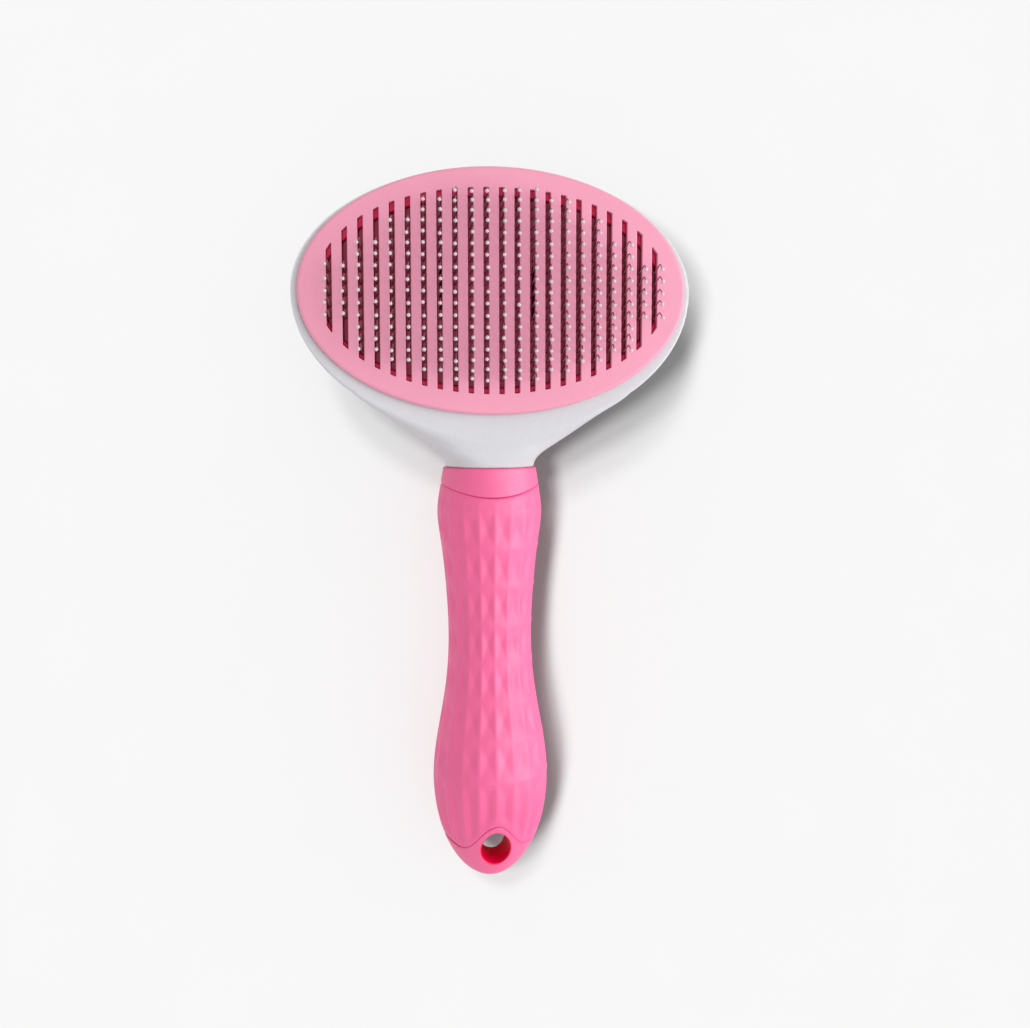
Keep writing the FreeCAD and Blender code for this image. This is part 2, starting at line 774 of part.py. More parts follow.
def main():
    make_shell()
    make_bezel()
    make_tray()
    make_pad()
    make_pins()
    make_faceplate()
    make_push_frame()
    make_button()
    for end, y in spring_spots():
        make_spring(end, y)
    make_screws()
    make_handle()
    doc.recompute()
    failed = [o for o in doc.Objects if "Invalid" in o.State or "Error" in o.State]
    if failed:
        names = ", ".join("%s (%s)" % (o.Name, o.getStatusString()) for o in failed)
        raise RuntimeError("did not build: " + names)
    os.makedirs("parts", exist_ok=True)
    for label, obj in parts.items():
        check(obj, label)
    for label, obj in parts.items():
        obj.Shape.exportStep("parts/%s.step" % label)
        solids = obj.Shape.Solids
        print(label, len(solids), "solids", round(sum(s.Volume for s in solids)), "mm3")


main()
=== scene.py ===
"""A push-plate slicker brush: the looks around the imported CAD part."""

import math

import bmesh
import bpy
import numpy as np
from mathutils import Matrix, Vector
from mathutils.geometry import delaunay_2d_cdt


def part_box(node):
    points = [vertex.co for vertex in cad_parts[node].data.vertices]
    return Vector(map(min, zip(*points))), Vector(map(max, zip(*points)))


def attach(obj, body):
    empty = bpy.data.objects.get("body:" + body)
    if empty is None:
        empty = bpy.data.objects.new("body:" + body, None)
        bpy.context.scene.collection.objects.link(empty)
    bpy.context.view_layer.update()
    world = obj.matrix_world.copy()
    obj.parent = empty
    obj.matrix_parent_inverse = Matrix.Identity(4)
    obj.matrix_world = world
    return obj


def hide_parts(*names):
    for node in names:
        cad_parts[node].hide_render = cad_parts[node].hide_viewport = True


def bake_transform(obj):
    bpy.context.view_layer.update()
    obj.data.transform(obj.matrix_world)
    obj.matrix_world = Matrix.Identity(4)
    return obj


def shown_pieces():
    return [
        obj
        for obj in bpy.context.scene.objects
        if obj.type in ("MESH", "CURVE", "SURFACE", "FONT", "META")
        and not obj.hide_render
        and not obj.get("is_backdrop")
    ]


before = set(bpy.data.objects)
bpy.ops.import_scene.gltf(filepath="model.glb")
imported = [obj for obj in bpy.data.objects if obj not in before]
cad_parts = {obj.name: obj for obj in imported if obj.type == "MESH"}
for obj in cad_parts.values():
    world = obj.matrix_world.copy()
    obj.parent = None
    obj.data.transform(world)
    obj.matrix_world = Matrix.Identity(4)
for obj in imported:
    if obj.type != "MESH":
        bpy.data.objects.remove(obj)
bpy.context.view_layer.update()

MM = 0.001
SEED = 5


def node_box(node):
    """Lowest and highest corner of a CAD node, in millimetres."""
    low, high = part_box(node)
    return np.array(low) / MM, np.array(high) / MM


PLATE = node_box("faceplate")
SHELL = node_box("head_shell")
TRAY = node_box("pin_tray")
PAD = node_box("pin_pad")
BUTTON = node_box("thumb_button")
BEZEL = node_box("button_bezel")
PUSH = node_box("push_frame")
CORE = node_box("handle_core")
SPRINGS = {end: node_box("return_spring_" + end) for end in ("front", "rear")}

HEAD_Y = (PLATE[0][1] + PLATE[1][1]) / 2
PLATE_TOP = PLATE[1][2]
PLATE_A = PLATE[1][0]
PLATE_B = (PLATE[1][1] - PLATE[0][1]) / 2
SHELL_A = SHELL[1][0]
RIM_TOP = SHELL[1][2]
FRONT = SHELL[1][1] - HEAD_Y
NECK = HEAD_Y - SHELL[0][1]
TAIL = HEAD_Y - CORE[0][1]
AXIS_Z = (CORE[0][2] + CORE[1][2]) / 2
SPRING_Y = 8.5  # of the two springs, either side of the head's centre
SPRING_HOLE = 5.4
BUTTON_SCREW_X = 6.6
SCREW_BORE = 1.25
SCREW_CONE = 2.35  # countersink's radius at the top
BEZEL_BORE = 17.3
BEZEL_HOLE = 19.05
TENON = 8.0


# ---- field tools
# Points are millimetres, with Y measured from the head's centre.


def round_max(a, b, r):
    """Meeting of two fields with a rounded edge."""
    r = np.maximum(r, 1e-6)
    corner = np.hypot(np.maximum(r + a, 0), np.maximum(r + b, 0))
    return np.minimum(-r, np.maximum(a, b)) + corner


def round_min(a, b, r):
    """Union of two fields with a fillet."""
    return -round_max(-a, -b, r)


def smooth_step(low, high, value):
    t = np.clip((value - low) / (high - low), 0, 1)
    return t * t * (3 - 2 * t)


def ellipse_field(x, y, a, b):
    """Distance from an ellipse, nearly."""
    k0 = np.sqrt((x / a) ** 2 + (y / b) ** 2 + 1e-9)
    k1 = np.sqrt((x / a**2) ** 2 + (y / b**2) ** 2 + 1e-12)
    return k0 * (k0 - 1) / k1


def box_field(p, centre, half, r):
    q = [np.abs(v - c) - h + r for v, c, h in zip(p, centre, half)]
    outside = np.sqrt(sum(np.maximum(v, 0) ** 2 for v in q))
    return outside + np.minimum(np.maximum(np.maximum(q[0], q[1]), q[2]), 0) - r


def disc_field(p, x, y, radius, low, high, r=0.0):
    """Upright cylinder with rounded edges."""
    side = np.hypot(p[0] - x, p[1] - y) - radius
    ends = np.abs(p[2] - (low + high) / 2) - (high - low) / 2
    return round_max(side, ends, r)


def spline(xs, ys):
    """Natural cubic curve through points, as a function of x."""
    xs, ys = np.array(xs, float), np.array(ys, float)
    order = np.argsort(xs)
    xs, ys = xs[order], ys[order]
    n = len(xs)
    h = np.diff(xs)
    a = np.eye(n)
    b = np.zeros(n)
    for i in range(1, n - 1):
        a[i, i - 1 : i + 2] = h[i - 1], 2 * (h[i - 1] + h[i]), h[i]
        b[i] = 6 * ((ys[i + 1] - ys[i]) / h[i] - (ys[i] - ys[i - 1]) / h[i - 1])
    m = np.linalg.solve(a, b)

    def at(x):
        x = np.clip(x, xs[0], xs[-1])
        i = np.clip(np.searchsorted(xs, x) - 1, 0, n - 2)
        t = x - xs[i]
        slope = (ys[i + 1] - ys[i]) / h[i] - h[i] * (2 * m[i] + m[i + 1]) / 6
        return ys[i] + t * slope + t**2 * m[i] / 2 + t**3 * (m[i + 1] - m[i]) / (6 * h[i])

    return at


def curve_of(table, column=1):
    """Spline of one column of a table over its first."""
    return spline([row[0] for row in table], [row[column] for row in table])


def gradient(field, points, h=0.01):
    columns = []
    for axis in np.eye(3) * h:
        ahead = field((points + axis).T)
        behind = field((points - axis).T)
        columns.append((ahead - behind) / (2 * h))
    return np.stack(columns, -1)


def pull_in(field, points, reach, steps):
    """Move points onto the surface of a field."""
    for _ in range(steps):
        value = field(points.T)
        g = gradient(field, points)
        move = -value[:, None] * g / (np.sum(g * g, -1)[:, None] + 1e-6)
        length = np.linalg.norm(move, axis=-1)[:, None]
        points = points + move * np.minimum(1, reach / np.maximum(length, 1e-9))
    return points


def surface_of(field, axes, smooth=3):
    """Quads on the zero surface of a field: vertices, faces and normals."""
    grid = np.stack(np.meshgrid(*axes, indexing="ij"))
    value = field(grid)
    inside = value < 0
    total = np.zeros([3] + [n - 1 for n in value.shape])
    count = np.zeros(total.shape[1:])
    for axis in range(3):
        near = [slice(None)] * 3
        far = [slice(None)] * 3
        near[axis] = slice(0, -1)
        far[axis] = slice(1, None)
        near, far = tuple(near), tuple(far)
        crosses = inside[near] != inside[far]
        t = np.where(crosses, value[near] / np.where(crosses, value[near] - value[far], 1), 0)
        point = (grid[(slice(None),) + near] * (1 - t) + grid[(slice(None),) + far] * t) * crosses
        others = [i for i in range(3) if i != axis]
        for first in (0, 1):
            for second in (0, 1):
                part = [slice(None)] * 3
                for other, start in zip(others, (first, second)):
                    part[other] = slice(start, start + total.shape[1 + other])
                part = tuple(part)
                total += point[(slice(None),) + part]
                count += crosses[part]
    active = count > 0
    index = np.full(count.shape, -1)
    index[active] = np.arange(active.sum())
    points = (total[:, active] / count[active]).T
    faces = []
    for axis in range(3):
        u, v = (axis + 1) % 3, (axis + 2) % 3
        near = [slice(1, -1)] * 3
        far = [slice(1, -1)] * 3
        near[axis] = slice(0, -1)
        far[axis] = slice(1, None)
        first, second = inside[tuple(near)], inside[tuple(far)]
        for flip, found in ((False, first & ~second), (True, ~first & second)):
            where = np.argwhere(found)
            where[:, u] += 1
            where[:, v] += 1
            corners = []
            for du, dv in ((1, 1), (0, 1), (0, 0), (1, 0)):
                cell = where.copy()
                cell[:, u] -= du
                cell[:, v] -= dv
                corners.append(index[tuple(cell.T)])
            quad = np.stack(corners, -1)
            faces.append(quad[:, ::-1] if flip else quad)
    faces = np.concatenate(faces)
    reach = min(np.diff(a).min() for a in axes)
    points = pull_in(field, points, reach, 3)
    sides = np.concatenate([faces[:, [i, (i + 1) % 4]] for i in range(4)])
    for _ in range(smooth):
        mean = np.zeros_like(points)
        share = np.zeros(len(points))
        np.add.at(mean, sides[:, 0], points[sides[:, 1]])
        np.add.at(share, sides[:, 0], 1)
        points = points * 0.5 + mean / share[:, None] * 0.5
        points = pull_in(field, points, reach, 1)
    points = pull_in(field, points, reach, 2)
    normals = gradient(field, points)
    normals /= np.linalg.norm(normals, axis=-1)[:, None] + 1e-9
    return points, faces, normals


def steps(low, high, size):
    return np.linspace(low, high, max(3, int(round((high - low) / size)) + 1))


# ---- mesh tools


def new_object(name, data):
    obj = bpy.data.objects.new(name, data)
    bpy.context.scene.collection.objects.link(obj)
    return obj


def make_mesh(name, points, faces, material, normals=None):
    """Object from points in millimetres, with Y from the head's centre."""
    points = np.array(points, float) + (0, HEAD_Y, 0)
    mesh = bpy.data.meshes.new(name)
    mesh.from_pydata((points * MM).tolist(), [], [list(map(int, f)) for f in faces])
    mesh.materials.append(material)
    mesh.polygons.foreach_set("use_smooth", np.ones(len(mesh.polygons), bool))
    mesh.update()
    if normals is not None:
        mesh.normals_split_custom_set_from_vertices(normals.tolist())
    return new_object(name, mesh)


def settle(obj, body, slot, node):
    """Tie a piece to its body and hide the CAD node that it replaces; `slot` is not used."""
    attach(obj, body)
    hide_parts(node)


def moulded(name, field, axes, material, *place):
    """Piece on the zero surface of a field; `place` is for settle."""
    points, faces, normals = surface_of(field, axes)
    settle(make_mesh(name, points, faces, material, normals), *place)


class Build:
    """Points and faces gathered from several shells."""

    def __init__(self):
        self.points = []
        self.faces = []

    def add(self, points, faces):
        start = len(self.points)
        self.points += [tuple(p) for p in points]
        self.faces += [[start + i for i in f] for f in faces]
        return start

    def mesh(self, name, material):
        return make_mesh(name, self.points, self.faces, material)


def strip(first, second, count):
    """Quads between two rings that start at these indices."""
    return [
        [first + i, first + (i + 1) % count, second + (i + 1) % count, second + i] for i in range(count)
    ]


def rings_mesh(build, rings, caps=False, loop=False):
    """Join rings of equal length into a closed skin."""
    count = len(rings[0])
    start = build.add(np.concatenate(rings), [])
    pairs = list(zip(range(len(rings) - 1), range(1, len(rings))))
    if loop:
        pairs.append((len(rings) - 1, 0))
    for a, b in pairs:
        build.faces += strip(start + a * count, start + b * count, count)
    if caps:
        for ring, turn in ((rings[0], 0), (rings[-1], 1)):
            base = start if turn == 0 else start + (len(rings) - 1) * count
            middle = build.add([np.mean(ring, axis=0)], [])
            for i in range(count):
                face = [base + (i + 1) % count, base + i, middle]
                build.faces.append(face if turn == 0 else face[::-1])


def fillet(path, radius, count=5):
    """Path with its inner corners rounded."""
    path = [np.array(p, float) for p in path]
    out = [path[0]]
    for before, corner, after in zip(path, path[1:], path[2:]):
        a, b = before - corner, after - corner
        la, lb = np.linalg.norm(a), np.linalg.norm(b)
        cut = min(radius, 0.45 * la, 0.45 * lb)
        start, end = corner + a / la * cut, corner + b / lb * cut
        for t in np.linspace(0, 1, count):
            out.append((1 - t) ** 2 * start + 2 * t * (1 - t) * corner + t * t * end)
    out.append(path[-1])
    return np.array(out)


def whole_turn(count):
    return np.linspace(0, 2 * math.pi, count, endpoint=False)


def tube_rings(path, radius, sides=8):
    """Rings along a path, without twist."""
    path = np.array(path, float)
    along = np.gradient(path, axis=0)
    along /= np.linalg.norm(along, axis=1)[:, None]
    side = np.cross(along[0], (0.3, 0.2, 1.0))
    if np.linalg.norm(side) < 0.1:
        side = np.cross(along[0], (1.0, 0, 0))
    rings = []
    for point, direction in zip(path, along):
        side = side - direction * np.dot(side, direction)
        side /= np.linalg.norm(side)
        other = np.cross(direction, side)
        turn = whole_turn(sides)[:, None]
        rings.append(point + radius * (np.cos(turn) * side + np.sin(turn) * other))
    return rings


def lathe(build, profile, x, y, count=128):
    """Closed profile of (radius, z) turned about an upright axis; the ends lie on the axis or meet."""
    turn = whole_turn(count)
    rings = []
    for radius, z in profile:
        ring = np.stack([x + radius * np.cos(turn), y + radius * np.sin(turn), np.full(count, z)], -1)
        rings.append(ring)
    on_axis = profile[0][0] < 0.05
    rings_mesh(build, rings, caps=on_axis, loop=not on_axis)


def ball(build, centre, radius, stretch, rings=9, sides=14):
    """Dipped bead: a sphere drawn out a little along the wire."""
    latitude = np.linspace(-math.pi / 2, math.pi / 2, rings + 2)[1:-1]
    turn = whole_turn(sides)
    out = []
    for a in latitude:
        r = radius * math.cos(a)
        z = radius * math.sin(a) * (stretch if a < 0 else 1)
        ring = np.stack([r * np.cos(turn), r * np.sin(turn), np.full(sides, z)], -1)
        out.append(ring + centre)
    rings_mesh(build, out, caps=True)
    build.points[-2] = tuple(np.array(centre) - (0, 0, radius * stretch))
    build.points[-1] = tuple(np.array(centre) + (0, 0, radius))


# ---- materials


def linear(*rgb):
    """sRGB 0-255 to a linear colour."""
    values = []
    for v in rgb:
        v = v / 255
        values.append(v / 12.92 if v <= 0.04045 else ((v + 0.055) / 1.055) ** 2.4)
    return (*values, 1.0)


def shade(colour, factor):
    return tuple(min(1.0, c * factor) for c in colour[:3]) + (1.0,)


def fill(node, values):
    """Set a node's inputs by name."""
    for key, value in values.items():
        node.inputs[key].default_value = value


class Nodes:
    """Small helper round a material's node tree."""

    def __init__(self, name):
        self.material = bpy.data.materials.new(name)
        self.material.use_nodes = True
        self.tree = self.material.node_tree
        self.surface = self.tree.nodes["Principled BSDF"]
        self.place = self.node("ShaderNodeTexCoord").outputs["Object"]

    def node(self, kind, **settings):
        made = self.tree.nodes.new(kind)
        for key, value in settings.items():
            setattr(made, key, value)
        return made

    def link(self, source, target):
        self.tree.links.new(source, target)

    def noise(self, scale, detail, stretch=(1, 1, 1)):
        """Noise with `scale` features a metre."""
        made = self.node("ShaderNodeTexNoise")
        fill(made, {"Scale": 1.0, "Detail": detail})
        mapping = self.node("ShaderNodeMapping")
        fill(mapping, {"Scale": [scale * s for s in stretch]})
        self.link(self.place, mapping.inputs["Vector"])
        self.link(mapping.outputs["Vector"], made.inputs["Vector"])
        return made.outputs["Fac"]

    def ramp(self, source, low, high, first, second):
        """Colour between two tones as source goes from low to high."""
        made = self.node("ShaderNodeValToRGB")
        made.color_ramp.elements[0].position = low
        made.color_ramp.elements[1].position = high
        made.color_ramp.elements[0].color = first
        made.color_ramp.elements[1].color = second
        self.link(source, made.inputs["Fac"])
        return made.outputs["Color"]

    def range(self, source, low, high, first=0.3, last=0.7):
        """Value from low to high as source goes from first to last."""
        made = self.node("ShaderNodeMapRange")
        fill(made, {"From Min": first, "From Max": last, "To Min": low, "To Max": high})
        self.link(source, made.inputs["Value"])
        return made.outputs["Result"]

    def mix(self, kind, factor, first, second):
        """Two colours mixed by a number or by another node's output."""
        made = self.node("ShaderNodeMix", data_type="RGBA", blend_type=kind)
        if isinstance(factor, float):
            fill(made, {"Factor": factor})
        else:
            self.link(factor, made.inputs["Factor"])
        self.link(first, made.inputs["A"])
        self.link(second, made.inputs["B"])
        return made.outputs["Result"]

    def near_axis(self, x, y, flat, inner, outer, near=1.0, far=0.0):
        """`near` within `inner` metres of an upright axis, changing to `far` at `outer`."""
        move = self.node("ShaderNodeMapping")
        fill(move, {"Location": (-x, -y * flat, 0), "Scale": (1, flat, 0)})
        self.link(self.place, move.inputs["Vector"])
        length = self.node("ShaderNodeVectorMath", operation="LENGTH")
        self.link(move.outputs["Vector"], length.inputs[0])
        return self.range(length.outputs["Value"], near, far, inner, outer)

    def bumps(self, layers):
        """Bump layers of (height source, depth in metres)."""
        before = None
        for source, depth in layers:
            made = self.node("ShaderNodeBump")
            fill(made, {"Strength": 1.0, "Distance": depth})
            self.link(source, made.inputs["Height"])
            if before is not None:
                self.link(before, made.inputs["Normal"])
            before = made.outputs["Normal"]
        self.link(before, self.surface.inputs["Normal"])


def plastic(name, colour, rough, grain, depth, spread, gloss=0.5, under=0.0, deep=None):
    """Moulded plastic: mottled pigment, uneven gloss, fine grain and slight sink waviness.

    `grain` is features a metre, `depth` is metres, `under` is the share of light that passes under
    the surface, and `deep` is a painted glow, a deep red that stands in for light scattered through the
    plastic, and where it lies, as for Nodes.near_axis.
    """
    n = Nodes(name)
    cloud = n.noise(90, 3)
    fine = n.noise(1400, 2)
    base = n.ramp(cloud, 0.3, 0.7, shade(colour, 1 - spread), shade(colour, 1 + spread))
    specks = n.ramp(fine, 0.35, 0.65, (0.97, 0.97, 0.97, 1), (1, 1, 1, 1))
    mottled = n.mix("MULTIPLY", 1.0, base, specks)
    # painted glow: deep red round an axis stands in for light scattered through the plastic; the gloss
    # also drops there
    if deep:
        tone, place = deep
        inner = n.ramp(cloud, 0.3, 0.7, shade(tone, 0.94), shade(tone, 1.06))
        mottled = n.mix("MIX", n.near_axis(*place), mottled, inner)
        n.link(n.near_axis(*place, 0.05, gloss), n.surface.inputs["Specular IOR Level"])
    n.link(mottled, n.surface.inputs["Base Color"])
    n.link(n.range(n.noise(260, 4), rough - 0.05, rough + 0.06), n.surface.inputs["Roughness"])
    n.bumps([(n.noise(grain, 3), depth), (n.noise(60, 1), depth * 3)])
    fill(n.surface, {"Specular IOR Level": gloss, "IOR": 1.55, "Subsurface Weight": under})
    fill(n.surface, {"Subsurface Radius": (0.004, 0.003, 0.003), "Subsurface Scale": 0.3})
    return n.material


def metal(name, colour, rough, stretch):
    """Drawn or plated steel with fine lines along one way."""
    n = Nodes(name)
    lines = n.noise(900, 4, stretch)
    base = n.ramp(lines, 0.3, 0.7, shade(colour, 0.8), shade(colour, 1.1))
    n.link(base, n.surface.inputs["Base Color"])
    n.link(n.range(n.noise(700, 2), rough - 0.07, rough + 0.1), n.surface.inputs["Roughness"])
    fill(n.surface, {"Metallic": 1.0})
    n.bumps([(lines, 8e-6)])
    return n.material


HOLE_X = 0.7
HOLE_Y = -152.2
HOLE_RADIUS = 4.0
# painted glow inside the hanging hole: deep red in place of light scattered through the pink plastic
HOLE_PAINTED_GLOW = (linear(226, 3, 66), (HOLE_X * MM, (HEAD_Y + HOLE_Y) * MM, 0.78, 4.1 * MM, 4.6 * MM))
SHELL_WHITE = plastic("shell_white", linear(198, 198, 202), 0.42, 2600, 4e-6, 0.012, under=0.05)
PLATE_PINK = plastic("plate_pink", linear(229, 144, 171), 0.46, 2400, 5e-6, 0.02, 0.7)
BUTTON_PINK = plastic("button_pink", linear(236, 84, 142), 0.42, 2400, 5e-6, 0.03, 0.8)
CORE_PINK = plastic("core_pink", linear(236, 84, 142), 0.5, 2000, 1e-5, 0.03, 1.0, deep=HOLE_PAINTED_GLOW)
GRIP_PINK = plastic("grip_pink", linear(235, 81, 142), 0.56, 1700, 2.2e-5, 0.04, 1.0)
TRAY_RED = plastic("tray_red", linear(205, 28, 78), 0.5, 2200, 6e-6, 0.05, 0.15)
PAD_RUBBER = plastic("pad_rubber", linear(146, 50, 74), 0.72, 1500, 2e-5, 0.1, 0.3)
TIP_WHITE = plastic("tip_white", linear(202, 186, 193), 0.45, 1800, 1.2e-5, 0.04, under=0.1)
# steel wire tinted pink: painted reflection of the pink plate and plastics round it
PIN_WIRE_PAINTED_REFLECTION = metal("pin_wire", linear(165, 120, 135), 0.42, (1, 1, 0.1))
SPRING_STEEL = metal("spring_steel", linear(170, 172, 178), 0.32, (0.2, 0.2, 1))
SCREW_STEEL = metal("screw_steel", linear(186, 186, 192), 0.3, (1, 1, 1))


# ---- head shell

BACK_Z = 7.1
REAR = 37.0
HOLLOW_FLOOR = 9.5
SHELL_LEVELS = [
    # height; width, front reach and rear reach as shares of the rim's
    (BACK_Z, 0.58, 0.72, 0.68),
    (BACK_Z + 1.6, 0.70, 0.81, 0.77),
    (BACK_Z + 5.5, 0.86, 0.91, 0.88),
    (BACK_Z + 11.0, 0.95, 0.97, 0.96),
    (BACK_Z + 17.0, 0.99, 0.995, 0.99),
    (RIM_TOP, 1.0, 1.0, 1.0),
]
HOLLOW_LEVELS = [
    # height, half width, front reach and rear reach
    (HOLLOW_FLOOR, 27.4, 21.2, 21.2),
    (12.0, 37.9, 23.5, 23.8),
    (17.0, 46.3, 27.0, 28.0),
    (22.0, SHELL_A - 2.6, 29.9, 30.4),
    (RIM_TOP + 1, SHELL_A - 2.3, 30.7, 30.9),
]
SHOULDERS = [
    # behind the head's centre, half width
    (26.3, 36.95),
    (27.1, 36.2),
    (30.3, 32.1),
    (33.5, 27.6),
    (36.7, 22.9),
    (39.8, 18.0),
    (41.5, 15.3),
    (43.1, 13.4),
    (44.7, 12.45),
    (NECK, 12.2),
]
levels_out = [curve_of(SHELL_LEVELS, i) for i in (1, 2, 3)]
levels_in = [curve_of(HOLLOW_LEVELS, i) for i in (1, 2, 3)]
shoulder = curve_of(SHOULDERS)
TRAY_SCREWS = [(sx * 33.5, sy * 9.5) for sx in (-1, 1) for sy in (-1, 1)]
BOSS_RADIUS = 3.0
BOSS_TOP = TRAY[0][2] + 2.18
BOSS_BORE_LOW = 14.5
NECK_SCREW_Y = -41.0
COUNTERBORE = 3.0
COUNTERBORE_TOP = 7.2
NECK_RADIUS = 12.2
NECK_LOW = 3.9
NECK_SQUARENESS = 1.8  # added to an ellipse's power of 2
SOCKET_DEPTH = 12.3
CROWN = (RIM_TOP - AXIS_Z - NECK_RADIUS) / (NECK - PLATE_B) ** 2  # fall of the neck's top from the rim


def plan_outline():
    """Right half of the shell seen from above, from its far edge to beyond the neck."""
    turn = np.linspace(math.pi / 2, 0, 60)
    front = np.column_stack([SHELL_A * np.cos(turn), FRONT * np.sin(turn)])
    last = math.asin(SHOULDERS[0][0] / REAR)
    turn = np.linspace(0, last, 40)[1:-1]
    rear = np.column_stack([SHELL_A * np.cos(turn), -REAR * np.sin(turn)])
    behind = np.linspace(SHOULDERS[0][0], NECK, 60)
    sides = np.column_stack([shoulder(behind), -behind])
    beyond = np.array([[NECK_RADIUS, -NECK - 20.0]])
    return np.concatenate([front, rear, sides, beyond])


def distance_grid(size=0.5):
    """Signed distance from the plan outline on a grid of x and y."""
    outline = plan_outline()
    xs = np.arange(0, SHELL_A + 4, size)
    ys = np.arange(-NECK - 4, FRONT + 4, size)
    x, y = np.meshgrid(xs, ys, indexing="ij")
    best = np.full(x.shape, 1e9)
    inside = np.zeros(x.shape, bool)
    for (x0, y0), (x1, y1) in zip(outline, outline[1:]):
        dx, dy = x1 - x0, y1 - y0
        t = np.clip(((x - x0) * dx + (y - y0) * dy) / (dx * dx + dy * dy), 0, 1)
        best = np.minimum(best, np.hypot(x - x0 - t * dx, y - y0 - t * dy))
        spans = (y1 <= y) & (y < y0)
        inside |= spans & (x < x0 + (y - y0) / (dy if dy else 1) * dx)
    return xs, ys, np.where(inside, -best, best)


PLAN = distance_grid()


def plan_field(x, y):
    xs, ys, table = PLAN
    u = np.clip((np.abs(x) - xs[0]) / (xs[1] - xs[0]), 0, len(xs) - 1.001)
    v = np.clip((y - ys[0]) / (ys[1] - ys[0]), 0, len(ys) - 1.001)
    i, j = u.astype(int), v.astype(int)
    u, v = u - i, v - j
    low = table[i, j] * (1 - u) + table[i + 1, j] * u
    high = table[i, j + 1] * (1 - u) + table[i + 1, j + 1] * u
    return low * (1 - v) + high * v


def bowl_inset(p):
    """How far the bowl's wall lies inside the rim's outline at each height."""
    x, y, z = p
    wide, front, rear = (f(z) for f in levels_out)
    reach = np.where(y > 0, FRONT, REAR)
    share = np.where(y > 0, front, rear)
    nx, ny = np.abs(x) / SHELL_A**2, np.abs(y) / reach**2
    size = np.hypot(nx, ny) + 1e-9
    return (nx * SHELL_A * (1 - wide) + ny * reach * (1 - share)) / size


def hollow_field(p):
    x, y, z = p
    wide, front, rear = (f(z) for f in levels_in)
    return ellipse_field(x, y, wide, np.where(y > 0, front, rear))


def shell_field(p):
    """Bowl that runs into a squarish neck, with its hollow, screw bosses and holes."""
    x, y, z = p
    plan = plan_field(x, y)
    from_plate = np.maximum(ellipse_field(x, y, PLATE_A, PLATE_B), 0)
    top = RIM_TOP - CROWN * from_plate**2
    behind = -y
    bowl_part = smooth_step(42, 25, behind)
    bowl = plan + bowl_inset(p)
    across = np.clip(1 + plan / NECK_RADIUS, 0, 3)
    lift = np.where(z > AXIS_Z, top - AXIS_Z, NECK_RADIUS - 0.1 - 3.0 * bowl_part)
    power = 2 + NECK_SQUARENESS * smooth_step(NECK, 41, behind)
    pill = ((across**power + np.abs((z - AXIS_Z) / lift) ** power + 1e-6) ** (1 / power) - 1) * NECK_RADIUS
    side = bowl * bowl_part + pill * (1 - bowl_part)
    edge = 0.6 + 2.2 * smooth_step(1.5, 9, from_plate) * bowl_part
    solid = round_max(side, z - top, edge)
    low = NECK_LOW + (BACK_Z - NECK_LOW) * smooth_step(44, 26, behind)
    solid = round_max(solid, low - z, 1.2)
    hollow = np.maximum(hollow_field(p), HOLLOW_FLOOR - z)
    solid = round_max(solid, -hollow, 0.4)
    for sx, sy in TRAY_SCREWS:
        boss = disc_field(p, sx, sy, BOSS_RADIUS, BACK_Z + 2, BOSS_TOP, 0.2)
        solid = round_min(solid, boss, 0.3)
        solid = np.maximum(solid, -disc_field(p, sx, sy, SCREW_BORE, BOSS_BORE_LOW, RIM_TOP + 5))
    solid = np.maximum(solid, -disc_field(p, 0, 0, BEZEL_HOLE, 0, HOLLOW_FLOOR + 2.5))
    socket = np.maximum(np.hypot(x, z - AXIS_Z) - TENON - 0.05, y + NECK - SOCKET_DEPTH)
    solid = np.maximum(solid, -socket)
    solid = round_max(solid, -disc_field(p, 0, NECK_SCREW_Y, COUNTERBORE, 0, COUNTERBORE_TOP), 0.25)
    solid = np.maximum(solid, -disc_field(p, 0, NECK_SCREW_Y, SCREW_BORE, 0, AXIS_Z))
    return round_max(solid, -NECK - y, 0.35)


def make_shell():
    size = 0.62
    axes = (
        steps(-SHELL_A - 1, SHELL_A + 1, size),
        steps(-NECK - 1, FRONT + 1, size),
        steps(3.0, RIM_TOP + 0.8, size),
    )
    moulded("head_shell_body", shell_field, axes, SHELL_WHITE, "brush", "shell_white", "head_shell")


make_shell()


# ---- faceplate

SLOT_PITCH = 4.05
SLOT_HALF = 0.7
SLOT_COUNT = 22
FIELD_A = 46.0
FIELD_B = 26.6
FIELD_POWERS = (2.0, 2.15)  # bottom and top ends of the slots
SKIRT_LOW = PLATE[0][2]
PLATE_LOW = PLATE_TOP - 2.0


def ellipse_ring(a, b, inset, z, count=260):
    """Ring set in from an ellipse by a true distance."""
    turn = whole_turn(count)
    point = np.stack([a * np.cos(turn), b * np.sin(turn)], -1)
    normal = np.stack([np.cos(turn) / a, np.sin(turn) / b], -1)
    normal /= np.linalg.norm(normal, axis=1)[:, None]
    flat = point - inset * normal
    return np.column_stack([flat, np.full(count, z)])


def slot_ring(x, grow, z):
    """Outline of one slot, grown by a distance, with small round corners."""

    def reach(at, power):
        return FIELD_B * (1 - abs(at / FIELD_A) ** power) ** (1 / power)

    left, right = x - SLOT_HALF, x + SLOT_HALF
    bottom, top = FIELD_POWERS
    corners = [
        np.array([right, -reach(right, bottom)]),
        np.array([right, reach(right, top)]),
        np.array([left, reach(left, top)]),
        np.array([left, -reach(left, bottom)]),
    ]
    corner_radius = 0.12
    out = []
    for i, corner in enumerate(corners):
        before = corner - corners[i - 1]
        after = corners[(i + 1) % 4] - corner
        n1 = np.array([before[1], -before[0]]) / np.linalg.norm(before)
        n2 = np.array([after[1], -after[0]]) / np.linalg.norm(after)
        bisector = (n1 + n2) / (1 + np.dot(n1, n2))
        centre = corner - bisector * corner_radius
        for t in (0, 0.5, 1):
            n = n1 * (1 - t) + n2 * t
            n /= np.linalg.norm(n)
            out.append([*(centre + n * (corner_radius + grow)), z])
    return np.array(out)


